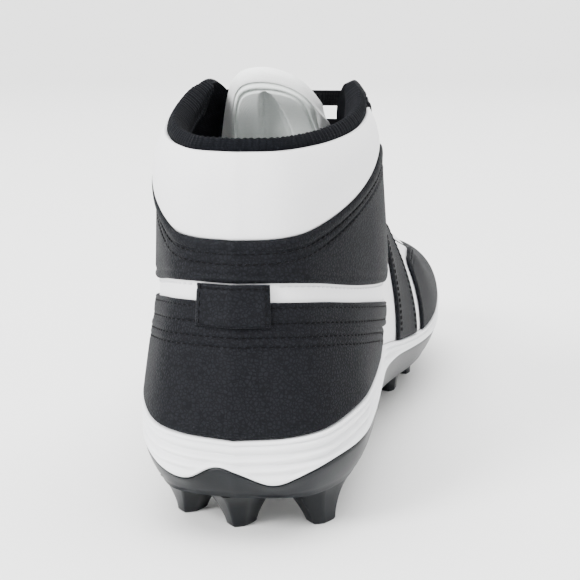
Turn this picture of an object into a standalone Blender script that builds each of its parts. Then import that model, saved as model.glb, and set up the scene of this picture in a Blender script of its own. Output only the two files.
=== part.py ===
"""American football cleat, left shoe, mid height.

Metres, +Z up, toe along +Y, medial side along +X. The origin is on the floor under the middle of
the shoe. Every piece of the upper is worked out from one surface: ribs that rise from the sole's
rim to the top line, which runs round the collar, down the throat and along the vamp to the toe.
"""

import functools
import math

import bmesh
import bpy
import numpy as np

# Driving sizes
LENGTH = 0.298  # heel to toe over the sole
BALL_WIDTH = 0.106  # sole across the ball
HEEL_WIDTH = 0.080  # sole across the heel
ANKLE_WIDTH = 0.080  # upper across the ankle, at the top line
STUD_HEIGHT = 0.0125  # floor to the lowest face of the plate
SOLE_THICK = 0.0221  # plate and midsole at the centre back
COLLAR_RISE = 0.0889  # leather at the centre back, above the sole
INSTEP_RISE = 0.1039  # front corner of the collar, above the sole's back
PLATE_THICK = 0.0030
WALL = 0.0020  # leather and backing of the upper
OVERLAY = 0.0013  # leather of an overlay
BAND_THICK = 0.0010
GAP = 0.0003  # clearance where two pieces meet
LAY = 0.0005  # clearance under an overlay
RIM_LEDGE = 0.0022  # rim of the midsole outside the upper
CUP_SLOPE = 0.0015  # how far the cup round the footbed leans in
SIDE_ROUND = 0.0155  # radius of the sole's lower side
ROUND_START = 0.0130  # height over the plate where that radius starts
INNER_INSET = 0.0140  # where the sole's flat middle starts
INSOLE_THICK = 0.0035
PAD_THICK = 0.0060  # collar padding
ROLL_HEIGHT = 0.0042  # lining over the collar's edge
TONGUE_WIDTH = 0.046  # at its widest
TONGUE_THICK = 0.0055
TONGUE_RISE = 0.0130  # free end of the tongue, past the top eyelets
TONGUE_DRIFT = 0.0060  # how far its free end has slipped to the lateral side
LACE_WIDTH = 0.0070
LACE_THICK = 0.0012
EYELET_ROWS = 7
STUD_ROOT = (0.0185, 0.0235)  # across and along
STUD_TIP = (0.0062, 0.0100)
TAB_WIDTH = 0.0245
TAB_REACH = 0.0012  # how far the tab stands behind the sole
COUNTER_RISE = 0.0359  # top edge of the heel counter, above the sole's back
BAND_WIDTH = 0.0075
TAB_RISE = 0.0496  # top of the heel tab and bottom edge of the ankle panel

STATIONS = 32  # ribs on each side
HEEL_CROWDING = 0.35  # how much closer the ribs stand at the heel
RIB_STEPS = 12

# Shares of the length between which the sole widens from the heel's width to the ball's.
HEEL_END, BALL_START = 0.30, 0.65

# Outline of the sole's rim. along: share of the length. lateral and medial: share of the local width.
OUTLINE = (
    (0.000, 0.000, 0.000),
    (0.010, 0.225, 0.225),
    (0.034, 0.358, 0.366),
    (0.090, 0.452, 0.472),
    (0.160, 0.478, 0.500),
    (0.280, 0.492, 0.492),
    (0.400, 0.502, 0.471),
    (0.500, 0.512, 0.462),
    (0.600, 0.512, 0.474),
    (0.690, 0.506, 0.494),
    (0.790, 0.462, 0.484),
    (0.880, 0.375, 0.440),
    (0.942, 0.252, 0.370),
    (0.983, 0.100, 0.262),
    (1.000, -0.085, 0.085),
)

# Middle of the sole. along: share of the length. plate: lowest face of the plate. footbed: under
# the insole. Both are heights over the studs, in shares of the sole's thickness.
SOLE_MIDDLE = (
    (0.00, 0.045, 0.769),
    (0.08, 0.050, 0.769),
    (0.20, 0.095, 0.814),
    (0.32, 0.167, 0.860),
    (0.42, 0.176, 0.814),
    (0.52, 0.086, 0.679),
    (0.62, 0.005, 0.588),
    (0.70, 0.000, 0.566),
    (0.78, 0.041, 0.611),
    (0.86, 0.167, 0.710),
    (0.94, 0.407, 0.860),
    (1.00, 0.656, 1.018),
)

# Rim of the midsole. way: share of the way round the sole from heel to toe. Heights as above.
RIM = (
    (0.00, 1.000),
    (0.05, 1.041),
    (0.09, 1.113),
    (0.14, 1.258),
    (0.19, 1.344),
    (0.29, 1.391),
    (0.36, 1.305),
    (0.42, 1.140),
    (0.50, 0.930),
    (0.60, 0.796),
    (0.66, 0.851),
    (0.74, 0.977),
    (0.82, 1.109),
    (0.91, 1.250),
    (1.00, 1.329),
)

# Edge between midsole and plate: way, lateral and medial height. It waves under the heel.
EDGE = (
    (0.000, 0.545, 0.545),
    (0.023, 0.593, 0.374),
    (0.034, 0.452, 0.295),
    (0.050, 0.335, 0.358),
    (0.065, 0.397, 0.475),
    (0.090, 0.561, 0.609),
    (0.140, 0.703, 0.718),
    (0.250, 0.812, 0.851),
    (0.350, 0.828, 0.867),
    (0.430, 0.765, 0.812),
    (0.530, 0.640, 0.648),
    (0.640, 0.554, 0.561),
    (0.730, 0.640, 0.640),
    (0.820, 0.765, 0.765),
    (0.910, 0.906, 0.906),
    (1.000, 0.977, 0.977),
)

# Side of the midsole: share of its height, and how far that line stands in.
SIDE_LINES = (
    (0.00, 0.0006),
    (0.24, 0.0000),
    (0.32, 0.0008),
    (0.40, 0.0000),
    (0.54, 0.0000),
    (0.62, 0.0009),
    (0.70, 0.0001),
    (0.84, 0.0002),
    (0.90, 0.0010),
    (0.95, 0.0001),
    (1.00, 0.0004),
)

# Top line of the upper. way: as above. along: share of the length. lateral and medial: share of the
# ankle width. rise: share of the instep's rise. fullness: 2 is a quarter ellipse, more is squarer.
TOP_LINE = (
    (0.00, 0.030, 0.000, 0.000, 0.856, 2.0),
    (0.05, 0.040, 0.150, 0.150, 0.857, 2.0),
    (0.10, 0.075, 0.255, 0.255, 0.861, 2.0),
    (0.16, 0.125, 0.345, 0.340, 0.873, 2.0),
    (0.23, 0.195, 0.410, 0.400, 0.897, 2.0),
    (0.30, 0.265, 0.428, 0.402, 0.935, 2.0),
    (0.36, 0.318, 0.400, 0.355, 0.982, 2.0),
    (0.41, 0.358, 0.335, 0.285, 1.010, 2.0),
    (0.45, 0.392, 0.275, 0.235, 0.930, 2.0),
    (0.50, 0.442, 0.232, 0.205, 0.745, 2.1),
    (0.57, 0.517, 0.206, 0.190, 0.530, 2.0),
    (0.64, 0.585, 0.185, 0.175, 0.410, 2.0),
    (0.69, 0.622, 0.095, 0.090, 0.352, 1.95),
    (0.72, 0.632, 0.000, 0.000, 0.338, 1.9),
    (0.80, 0.690, 0.000, 0.000, 0.295, 1.85),
    (0.90, 0.775, 0.000, 0.000, 0.255, 1.9),
    (1.00, 0.850, 0.000, 0.000, 0.215, 2.0),
)
THROAT_END = 0.72  # way at which both edges of the throat meet

# Swell of the ribs over that plain curve, in shares of the padding. Rows by height share, then at
# the centre back, the back quarter, the ankle, the collar's front corner and the vamp.
SWELL_WAYS = (0.00, 0.13, 0.27, 0.41, 0.60)
SWELL = (
    (0.00, 0.00, 0.00, 0.00, 0.00, 0.00),
    (0.12, 0.20, -0.20, 0.22, 0.10, 0.00),
    (0.30, 0.33, -0.45, 0.40, 0.15, 0.00),
    (0.50, 0.20, -0.55, 0.48, 0.18, 0.00),
    (0.70, 0.02, -0.25, 0.45, 0.20, 0.00),
    (0.85, 0.12, 0.35, 0.48, 0.20, 0.00),
    (0.94, 0.22, 0.32, 0.33, 0.15, 0.00),
    (1.00, 0.00, 0.00, 0.00, 0.00, 0.00),
)
LEAN_POWER = 1.6  # how late the upright ribs lean in
UPRIGHT_END = 0.46  # way at which the ribs start to round over
ROUND_FROM = 0.64  # way from which they are fully round

# Studs: name, place of the tip, place of the root and turn in degrees. Places are shares, along the
# length and then across the local width, and across is positive on the medial side.
STUDS = (
    ("stud_heel_lateral", (0.104, -0.253), (0.098, -0.223), -36),
    ("stud_heel_centre", (0.070, -0.015), (0.068, -0.015), -36),
    ("stud_heel_medial", (0.092, 0.305), (0.104, 0.261), -36),
    ("stud_shank_lateral", (0.245, -0.328), (0.245, -0.298), 0),
    ("stud_shank_medial", (0.245, 0.320), (0.245, 0.290), 0),
    ("stud_ball_lateral_1", (0.545, -0.368), (0.545, -0.332), 8),
    ("stud_ball_lateral_2", (0.655, -0.371), (0.655, -0.340), 0),
    ("stud_ball_lateral_3", (0.765, -0.326), (0.765, -0.292), -14),
    ("stud_ball_medial_1", (0.624, 0.310), (0.622, 0.291), -10),
    ("stud_ball_medial_2", (0.724, 0.349), (0.722, 0.320), 6),
    ("stud_ball_centre", (0.700, -0.017), (0.700, -0.017), 0),
    ("stud_toe_medial", (0.842, 0.264), (0.840, 0.236), 20),
    ("stud_toe_lateral", (0.850, -0.112), (0.846, -0.096), -24),
)
# Outline of a stud as shares of half its width and length, and its sections: share of the way to
# the tip, and how much of the root's size is left.
STUD_OUTLINE = ((-0.35, 1.0), (-1.0, 0.25), (-0.85, -0.85), (0.45, -1.0), (1.0, -0.35), (0.80, 0.80))
STUD_SECTIONS = ((0.0, 1.0), (0.22, 0.66), (0.55, 0.30), (0.85, 0.07), (1.0, 0.0))

BLACK_LEATHER = ("black_leather", (0.020, 0.021, 0.024), 0.45)
WHITE_LEATHER = ("white_leather", (0.80, 0.80, 0.81), 0.50)
BLACK_KNIT = ("black_knit", (0.016, 0.017, 0.020), 0.90)
PALE_KNIT = ("pale_knit", (0.62, 0.67, 0.65), 0.90)
WHITE_RUBBER = ("white_rubber", (0.78, 0.78, 0.79), 0.55)
BLACK_PLASTIC = ("black_plastic", (0.030, 0.033, 0.037), 0.35)
BLACK_WEBBING = ("black_webbing", (0.018, 0.018, 0.020), 0.85)

LATERAL, MEDIAL = -1, 1


@functools.lru_cache(maxsize=None)
def curve_of(rows):
    table = np.asarray(rows, float)
    return table[:, 0], table[:, 1:], np.gradient(table[:, 1:], table[:, 0], axis=0)


def through(rows, at):
    """The values at one place of a smooth curve through the rows, whose first column is the place."""
    places, values, slopes = curve_of(rows)
    i = int(np.clip(np.searchsorted(places, at) - 1, 0, len(places) - 2))
    step = places[i + 1] - places[i]
    t = float(np.clip((at - places[i]) / step, 0.0, 1.0))
    start, end = values[i], values[i + 1]
    return (
        start * (2 * t**3 - 3 * t**2 + 1)
        + slopes[i] * step * (t**3 - 2 * t**2 + t)
        + end * (3 * t**2 - 2 * t**3)
        + slopes[i + 1] * step * (t**3 - t**2)
    )


def ease(t):
    t = min(max(t, 0.0), 1.0)
    return t * t * (3 - 2 * t)


def local_width(along):
    """Width of the sole that shares across are taken of, at a share of the length."""
    return HEEL_WIDTH + (BALL_WIDTH - HEEL_WIDTH) * ease((along - HEEL_END) / (BALL_START - HEEL_END))


def outline_run(side):
    """One side of the sole's outline, finely divided, and the share of the way at each point."""
    column = 2 if side == MEDIAL else 1
    rows = tuple((i, row[0], row[column]) for i, row in enumerate(OUTLINE))
    points = []
    for place in np.linspace(0, len(rows) - 1, 12 * len(rows)):
        along, share = through(rows, place)
        points.append((side * share * local_width(along), (along - 0.5) * LENGTH))
    points = np.array(points)
    steps = np.hypot(*np.diff(points, axis=0).T)
    way = np.concatenate([[0.0], np.cumsum(steps)])
    return points, way / way[-1]


OUTLINE_RUNS = {side: outline_run(side) for side in (LATERAL, MEDIAL)}
MIDDLE_X = (OUTLINE_RUNS[LATERAL][0][:, 0].min() + OUTLINE_RUNS[MEDIAL][0][:, 0].max()) / 2


def side_of(q):
    """q runs from -1 at the toe, down the lateral side, 0 at the heel, to 1 at the toe."""
    return MEDIAL if q >= 0 else LATERAL


def wrapped(q):
    return (q + 1.0) % 2.0 - 1.0


@functools.lru_cache(maxsize=None)
def on_outline(q):
    points, way = OUTLINE_RUNS[side_of(q)]
    return np.array([np.interp(abs(q), way, points[:, i]) for i in (0, 1)])


def inward_at(q):
    """The level direction into the shoe, square to the outline."""
    ahead = on_outline(wrapped(q + 0.012)) - on_outline(wrapped(q - 0.012))
    return np.array([-ahead[1], ahead[0]]) / np.hypot(*ahead)


def rim_point(q, inset=0.0):
    """A point of the sole's outline, moved in square to it."""
    return on_outline(wrapped(q)) + inward_at(q) * inset


def over_studs(share):
    return STUD_HEIGHT + float(share) * SOLE_THICK


def rim_height(q):
    return over_studs(through(RIM, abs(q))[0])


def edge_height(q):
    return over_studs(through(EDGE, abs(q))[1 if q >= 0 else 0])


def plate_bottom(y):
    return over_studs(through(SOLE_MIDDLE, y / LENGTH + 0.5)[0])


def footbed(y):
    return over_studs(through(SOLE_MIDDLE, y / LENGTH + 0.5)[1])


def side_inset(q, height):
    """How far the rounded lower side of the sole stands in at a height."""
    drop = max(plate_bottom(rim_point(q)[1]) + ROUND_START - height, 0.0)
    return SIDE_ROUND - math.sqrt(max(SIDE_ROUND**2 - drop**2, 0.0))


def foot_point(q):
    """Where a rib stands, on the rim of the midsole."""
    x, y = rim_point(q, RIM_LEDGE)
    return np.array([x, y, rim_height(q) + GAP])


def top_values(q):
    return through(TOP_LINE, abs(q))


def top_point(q):
    along, lateral, medial, rise, _ = top_values(q)
    half = lateral if q < 0 else medial
    if abs(q) >= THROAT_END:
        half = 0.0
    drift = 0.5 * rim_point(1.0)[0] * ease((abs(q) - 0.55) / 0.45)
    x = side_of(q) * max(half, 0.0) * ANKLE_WIDTH + drift
    return np.array([x, (along - 0.5) * LENGTH, over_studs(1.0) + rise * INSTEP_RISE])


def swell(q, share):
    across = tuple(zip(SWELL_WAYS, through(SWELL, share)))
    return float(through(across, abs(q))[0]) * PAD_THICK


@functools.lru_cache(maxsize=None)
def plain_rib(q, w):
    """A point of the upper. w runs from 0 at the sole to 1 at the top line."""
    q = wrapped(q)
    foot, top = foot_point(q), top_point(q)
    power = 2.0 / top_values(q)[4]
    rise = math.sin(w * math.pi / 2) ** power
    over = ease((abs(q) - UPRIGHT_END) / (ROUND_FROM - UPRIGHT_END))
    inward = over * (1 - math.cos(w * math.pi / 2) ** power) + (1 - over) * rise**LEAN_POWER
    along = 1 - (1 - inward) ** (1 + ease((abs(q) - 0.55) / 0.2))
    point = np.array([
        foot[0] + (top[0] - foot[0]) * inward,
        foot[1] + (top[1] - foot[1]) * along,
        foot[2] + (top[2] - foot[2]) * rise,
    ])
    return point - np.append(inward_at(q), 0.0) * swell(q, rise)


def upper_point(q, w, offset=0.0):
    """The upper's surface, moved out square to itself."""
    step_q, step_w = 0.006, 0.02
    low, high = max(w - step_w, 0.0), min(w + step_w, 1.0)
    over = plain_rib(q, high) - plain_rib(q, low)
    edge = min(w, 1.0 - 1e-3)
    ahead = plain_rib(q + step_q, edge) - plain_rib(q - step_q, edge)
    normal = np.cross(ahead, over)
    return plain_rib(q, w) + normal / np.linalg.norm(normal) * offset


def way_up(q, height):
    """The w at which a rib reaches a height above the floor."""
    foot, top = foot_point(q)[2], top_point(q)[2]
    rise = min(max((height - foot) / (top - foot), 0.0), 1.0)
    power = 2.0 / top_values(q)[4]
    return 2 / math.pi * math.asin(rise ** (1 / power))


def material(spec):
    name, colour, roughness = spec
    made = bpy.data.materials.get(name)
    if made is None:
        made = bpy.data.materials.new(name)
        made.use_nodes = True
        shader = made.node_tree.nodes["Principled BSDF"]
        shader.inputs["Base Color"].default_value = (*colour, 1.0)
        shader.inputs["Roughness"].default_value = roughness
    return made


def add_solid(name, points, faces, spec):
    mesh = bpy.data.meshes.new(name)
    mesh.from_pydata([tuple(p) for p in points], [], faces)
    shape = bmesh.new()
    shape.from_mesh(mesh)
    bmesh.ops.remove_doubles(shape, verts=shape.verts, dist=1e-6)
    bmesh.ops.dissolve_degenerate(shape, edges=shape.edges, dist=1e-6)
    bmesh.ops.recalc_face_normals(shape, faces=shape.faces)
    shape.to_mesh(mesh)
    shape.free()
    mesh.materials.append(material(spec))
    mesh.shade_smooth()
    mesh.set_sharp_from_angle(angle=math.radians(40))
    solid = bpy.data.objects.new(name, mesh)
    solid.location = (-MIDDLE_X, TAB_REACH / 2, 0.0)
    bpy.context.scene.collection.objects.link(solid)
    return solid


def ring_faces(first, second, count):
    """Triangles between two rings, all cut the same way, so that neighbours match."""
    faces = []
    for i in range(count):
        ahead = (i + 1) % count
        faces.append((first + i, first + ahead, second + ahead))
        faces.append((first + i, second + ahead, second + i))
    return faces


def lid_faces(start, half):
    """Closes a ring of the sole by strips from the lateral to the medial side."""
    count = 2 * half
    faces = [(start + half, start + half + 1, start + half - 1)]
    faces += [(start + half - i, start + half + i, start + half + i + 1, start + half - i - 1)
              for i in range(1, half - 1)]
    faces.append((start + 1, start + count - 1, start))
    return faces


def add_rings(name, rings, spec):
    """A solid through rings of the sole, closed at the first and the last."""
    count = len(rings[0])
    points = [p for ring in rings for p in ring]
    faces = lid_faces(0, count // 2) + lid_faces((len(rings) - 1) * count, count // 2)
    for i in range(len(rings) - 1):
        faces += ring_faces(i * count, (i + 1) * count, count)
    return add_solid(name, points, faces, spec)


def rib_place(i):
    """The place of rib i, from -STATIONS at the lateral toe to STATIONS at the medial toe."""
    way = abs(i) / STATIONS
    return math.copysign(way * (1 - HEEL_CROWDING + HEEL_CROWDING * way), i)


def sole_places():
    """Places round the whole sole, from the lateral toe over the heel to the medial toe."""
    return [rib_place(i) for i in range(-STATIONS, STATIONS)]


def sole_ring(inset, height):
    """A ring of the sole. inset takes the place, height the place and the point's own y."""
    ring = []
    for q in sole_places():
        x, y = rim_point(q, inset(q))
        ring.append((x, y, height(q, y)))
    return ring


def level_ring(inset, surface):
    return sole_ring(lambda q: inset, lambda q, y: surface(y))


def wall_foot():
    return RIM_LEDGE + WALL + GAP


def side_height(q, share):
    low = edge_height(q) + GAP
    return low + (rim_height(q) - low) * share


def build_midsole():
    """White midsole: ribbed side, rim under the upper and a cup for the insole."""
    rings = [level_ring(INNER_INSET, lambda y: plate_bottom(y) + PLATE_THICK + GAP)]
    for share, groove in SIDE_LINES:
        rings.append(sole_ring(
            lambda q, share=share, groove=groove: side_inset(q, side_height(q, share)) + groove,
            lambda q, y, share=share: side_height(q, share),
        ))
    rings.append(sole_ring(lambda q: wall_foot(), lambda q, y: rim_height(q)))
    rings.append(level_ring(wall_foot() + CUP_SLOPE, footbed))
    return add_rings("midsole", rings, WHITE_RUBBER)


def plate_wall(q, share):
    """A height on the plate's side, from its lower corner to its edge."""
    corner = plate_bottom(rim_point(q)[1]) + PLATE_THICK / 4
    return corner + (edge_height(q) - corner) * share


def build_plate():
    """Black plate that carries the studs and wraps up behind the heel."""
    rings = [level_ring(INNER_INSET, lambda y: plate_bottom(y) + PLATE_THICK)]
    for share, inset in ((1.0, PLATE_THICK / 4), (0.5, PLATE_THICK / 4), (0.0, 0.0)):
        rings.append(sole_ring(
            lambda q, share=share, inset=inset: side_inset(q, plate_wall(q, share)) + inset,
            lambda q, y, share=share: plate_wall(q, share),
        ))
    rings.append(level_ring(INNER_INSET, plate_bottom))
    return add_rings("plate", rings, BLACK_PLASTIC)


def build_insole():
    """Insole in the cup of the midsole."""
    inset = wall_foot() + CUP_SLOPE + GAP
    rings = []
    for step, rise in ((INSOLE_THICK, 0), (0, 0), (0, INSOLE_THICK), (INSOLE_THICK, INSOLE_THICK)):
        rings.append(level_ring(inset + step, lambda y, rise=rise: footbed(y) + GAP + rise))
    return add_rings("insole", rings, PALE_KNIT)


def throat_ribs():
    """Number of ribs from the heel to the end of the throat."""
    return min(range(STATIONS), key=lambda i: abs(rib_place(i) - THROAT_END))


def build_upper():
    """The hollow shell, open at the collar and throat and underneath."""
    places = [rib_place(i) for i in range(-STATIONS, STATIONS + 1)]
    ways = np.linspace(0.0, 1.0, RIB_STEPS + 1)
    points, faces = [], []
    for offset in (0.0, -WALL):
        for q in places:
            points += [upper_point(q, w, offset) for w in ways]
    rows, columns = len(ways), len(places)
    inside = rows * columns
    open_ribs = range(STATIONS - throat_ribs(), STATIONS + throat_ribs())

    def at(i, j):
        return i * rows + j

    for i in range(columns - 1):
        for j in range(RIB_STEPS):
            quad = (at(i, j), at(i + 1, j), at(i + 1, j + 1), at(i, j + 1))
            faces.append(quad)
            faces.append(tuple(inside + v for v in reversed(quad)))
        foot = (at(i, 0), at(i + 1, 0))
        faces.append((foot[1], foot[0], inside + foot[0], inside + foot[1]))
        if i in open_ribs:
            top = (at(i, RIB_STEPS), at(i + 1, RIB_STEPS))
            faces.append((top[0], top[1], inside + top[1], inside + top[0]))
    for layer in (0, inside):
        for i in range(columns):
            if i not in open_ribs and i < STATIONS or i == open_ribs.start:
                join_tops(points, layer + at(i, RIB_STEPS), layer + at(columns - 1 - i, RIB_STEPS))
    return add_solid("upper", points, faces, WHITE_LEATHER)


def join_tops(points, lateral, medial):
    """Brings the tops of two facing ribs together along the vamp."""
    points[lateral] = points[medial] = (points[lateral] + points[medial]) / 2


def add_patch(name, places, low, high, offsets, steps, spec):
    """A piece of leather over the upper, from low(q) to high(q), between two offsets."""
    points = []
    for offset in offsets:
        for q in places:
            heights = np.linspace(low(q), high(q), steps + 1)
            points += [upper_point(q, w, offset) for w in heights]
    return add_solid(name, points, sheet_faces(len(places) - 1, steps), spec)


# Edges of the panels: way, and the height as a share of the named rise.
BAND_LINE = (
    (0.00, 1.000),
    (0.05, 0.990),
    (0.10, 0.945),
    (0.15, 0.870),
    (0.20, 0.785),
    (0.25, 0.690),
    (0.30, 0.590),
    (0.40, 0.380),
)
COUNTER_CORNER = ((0.00, 1.00), (0.22, 1.00), (0.24, 0.99), (0.262, 0.92), (0.275, 0.76), (0.283, 0.48))
ANKLE_EDGE = (
    (0.00, 1.000),
    (0.05, 0.993),
    (0.10, 0.958),
    (0.15, 0.900),
    (0.20, 0.840),
    (0.25, 0.788),
    (0.285, 0.765),
    (0.305, 0.800),
)
COLLAR_EDGE = (
    (0.00, 0.700),
    (0.04, 0.703),
    (0.08, 0.717),
    (0.12, 0.750),
    (0.17, 0.805),
    (0.22, 0.870),
    (0.27, 0.925),
    (0.31, 0.955),
)
# Edges on the front of the upper, as shares of each rib.
EYESTAY_EDGE = (
    (0.335, 0.820),
    (0.360, 0.720),
    (0.400, 0.667),
    (0.550, 0.667),
    (0.700, 0.667),
)
TOE_EDGE = (
    (0.560, 0.020),
    (0.575, 0.300),
    (0.600, 0.420),
    (0.640, 0.500),
    (0.700, 0.500),
    (1.000, 0.500),
)
COUNTER_END = 0.283
PANEL_END = 0.305
BAND_END = 0.350
EYESTAY_START, EYESTAY_END = 0.335, 0.700
ARM_START, ARM_END = 0.455, 0.548
TOE_START = 0.560


def places_between(first, last):
    """The ribs of the upper between two places, and the two places."""
    near = 0.3 / STATIONS
    ribs = [rib_place(i) for i in range(-STATIONS, STATIONS + 1)]
    return [first, *(q for q in ribs if first + near < q < last - near), last]


def risen(rows, rise):
    """A panel's edge, as the w of each rib where it crosses it."""
    return lambda q, away=0.0: way_up(q, over_studs(1.0) + float(through(rows, abs(q))[0]) * rise + away)


def build_heel_panels():
    """Counter, plain band, ankle panel, collar panel and the tab over the band."""
    def counter(q):
        return band(q) * min(float(through(COUNTER_CORNER, abs(q))[0]), 1.0)

    ankle = risen(ANKLE_EDGE, TAB_RISE)
    collar = risen(COLLAR_EDGE, COLLAR_RISE)
    band = risen(BAND_LINE, COUNTER_RISE)
    thick = (LAY, LAY + OVERLAY)
    thin = (LAY, LAY + BAND_THICK)
    add_patch("heel_counter", places_between(-COUNTER_END, COUNTER_END), lambda q: 0.0, counter, thick, 4,
              BLACK_LEATHER)
    add_patch("ankle_panel", places_between(-PANEL_END, PANEL_END), ankle, lambda q: collar(q, -GAP), thick, 4,
              BLACK_LEATHER)
    add_patch("collar_panel", places_between(-PANEL_END, PANEL_END), lambda q: collar(q, GAP), lambda q: 1.0,
              thin, 6, WHITE_LEATHER)
    add_patch("heel_band", places_between(-BAND_END, BAND_END), lambda q: band(q, GAP),
              lambda q: band(q, GAP + BAND_WIDTH), thin, 1, BLACK_LEATHER)
    half = TAB_WIDTH / 2 / side_length(MEDIAL)
    over = LAY + BAND_THICK + LAY
    add_patch("heel_tab", places_between(-half, half), lambda q: band(q, GAP), lambda q: ankle(q, -GAP),
              (over, over + OVERLAY), 2, BLACK_LEATHER)


def side_length(side):
    """Length of one side of the sole's outline."""
    points, _ = OUTLINE_RUNS[side]
    return float(np.hypot(*np.diff(points, axis=0).T).sum())


def build_front_panels():
    """Eyestays down both sides of the throat, an arm from each to the sole, and the toe's overlay."""
    def below_eyestay(q):
        return eyestay_edge(q) - 2 * GAP / (top_point(q)[2] - foot_point(q)[2])

    thick = (LAY, LAY + OVERLAY)
    for side, name in ((LATERAL, "lateral"), (MEDIAL, "medial")):
        ends = sorted((side * EYESTAY_START, side * EYESTAY_END))
        add_patch(f"eyestay_{name}", places_between(*ends), eyestay_edge, lambda q: 1.0, thick, 4,
                  BLACK_LEATHER)
        ends = sorted((side * ARM_START, side * ARM_END))
        add_patch(f"arm_{name}", places_between(*ends), lambda q: 0.0, below_eyestay, thick, 8,
                  BLACK_LEATHER)
    ends = (TOE_START, 2.0 - TOE_START)
    add_patch("toe_overlay", places_round_toe(*ends), lambda q: 0.0, toe_edge, thick, 6, BLACK_LEATHER)


def places_round_toe(first, last):
    """The ribs from the medial side over the toe, where the place passes 1, to the lateral side."""
    medial = [rib_place(i) for i in range(1, STATIONS + 1)]
    lateral = [2 - q for q in reversed(medial[:-1])]
    return [q for q in medial + lateral if first < q < last]


def eyestay_edge(q):
    return float(through(EYESTAY_EDGE, abs(q))[0])


def toe_edge(q):
    return float(through(TOE_EDGE, abs(wrapped(q)))[0])


# Lining of the collar. share: of each rib, from the top. inside: how thick the padding is there.
PAD_SECTION = ((0.00, 0.85), (0.06, 1.00), (0.16, 0.90), (0.30, 0.35))
LINING_END = 0.385


def build_lining():
    """Padded knit inside the collar, rolled over its edge."""
    places = places_between(-LINING_END, LINING_END)
    points = []
    for q in places:
        taper = 0.45 + 0.55 * ease((LINING_END - abs(q)) / 0.08)
        back = WALL + GAP
        front = [upper_point(q, 1 - share, -back) for share, _ in reversed(PAD_SECTION)]
        inner = [upper_point(q, 1 - share, -back - pad * PAD_THICK * taper) for share, pad in PAD_SECTION]
        up = np.array([0, 0, ROLL_HEIGHT * taper])
        out = np.append(-inward_at(q), 0.0)
        lip = upper_point(q, 1.0)
        roll = [
            lip + up * 0.15 + out * GAP,
            lip + up * 0.75 - out * 0.0008,
            lip + up - out * PAD_THICK * 0.45 * taper,
            inner[0] + up * 0.75,
        ]
        points += front + roll + inner
    count = len(points) // len(places)
    faces = []
    for i in range(len(places) - 1):
        faces += ring_faces(i * count, (i + 1) * count, count)
    faces.append(tuple(range(count)))
    faces.append(tuple(reversed(range(len(points) - count, len(points)))))
    return add_solid("collar_lining", points, faces, BLACK_KNIT)


# Tongue: share of the way from the vamp to its free end, half width and thickness as shares.
TONGUE_ROWS = (
    (0.00, 0.56, 0.45),
    (0.15, 0.67, 0.55),
    (0.45, 0.88, 0.70),
    (0.65, 1.00, 0.85),
    (0.78, 0.95, 0.95),
    (0.90, 0.89, 1.00),
    (1.00, 0.86, 0.80),
)
TONGUE_FROM, TONGUE_LAST_EYELET = 0.76, 0.43
TONGUE_STEPS = 16
TONGUE_ACROSS = 10
TONGUE_FREE = 0.22  # share of the tongue's steps past the top eyelets
TONGUE_LEAN = np.array([-0.10, -0.58, 0.80])  # the way its free end stands
ARCH_FROM = 0.50  # share from which its rows bend into the arch of its end
ARCH_DROP = 0.36  # how far its corners stand below the middle, as a share of its steps
ARCH_ROUND = 0.92
EDGE_THICK = 0.45  # its edges, as a share of its thickness
RIB_TOP = 0.9  # the part of a rib that the tongue's edge follows


def tongue_face(t, c):
    """Outer face of the tongue. t runs up it, c from -1 on the lateral edge to 1 on the medial."""
    bend = ease((t - ARCH_FROM) / (1 - ARCH_FROM)) * (1 - math.sqrt(1 - ARCH_ROUND * c * c))
    up = t * (1 - ARCH_DROP * bend)
    bound = min(up / (1 - TONGUE_FREE), 1.0)
    q = TONGUE_FROM + (TONGUE_LAST_EYELET - TONGUE_FROM) * bound
    depth = WALL + LAY + GAP
    half = float(through(TONGUE_ROWS, t)[0]) * TONGUE_WIDTH / 2
    left, right = upper_point(-q, 1.0, -depth), upper_point(q, 1.0, -depth)
    middle = (left + right) / 2
    edge = np.linalg.norm(right - left) / 2
    x = c * half - TONGUE_DRIFT * ease(t)
    if abs(x) <= edge:
        point = middle + (right - left) / 2 * (x / max(edge, 1e-9))
    else:
        side = math.copysign(q, x)
        rib = np.linalg.norm(upper_point(side, 1.0) - upper_point(side, RIB_TOP)) / (1 - RIB_TOP)
        point = upper_point(side, 1 - (abs(x) - edge) / rib, -depth)
    free = max(up - (1 - TONGUE_FREE), 0.0) / TONGUE_FREE * TONGUE_RISE
    return point + TONGUE_LEAN * free


def build_tongue():
    """Padded tongue under the throat, with its free end above the top eyelets."""
    places = np.sin(np.linspace(-1, 1, TONGUE_ACROSS + 1) * math.pi / 2)
    rows = np.linspace(0, 1, TONGUE_STEPS + 1)
    grid = np.array([[tongue_face(t, float(c)) for c in places] for t in rows])
    up, across = np.gradient(grid, axis=(0, 1))
    normals = np.cross(across, up)
    normals /= np.linalg.norm(normals, axis=2, keepdims=True)
    points = [p for row in grid for p in row]
    for i, row in enumerate(grid):
        thick = float(through(TONGUE_ROWS, i / TONGUE_STEPS)[1]) * TONGUE_THICK
        for j, p in enumerate(row):
            edge = EDGE_THICK if j in (0, TONGUE_ACROSS) else 1.0
            points.append(p + normals[i, j] * thick * edge)
    return add_solid("tongue", points, sheet_faces(TONGUE_STEPS, TONGUE_ACROSS), PALE_KNIT)


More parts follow.
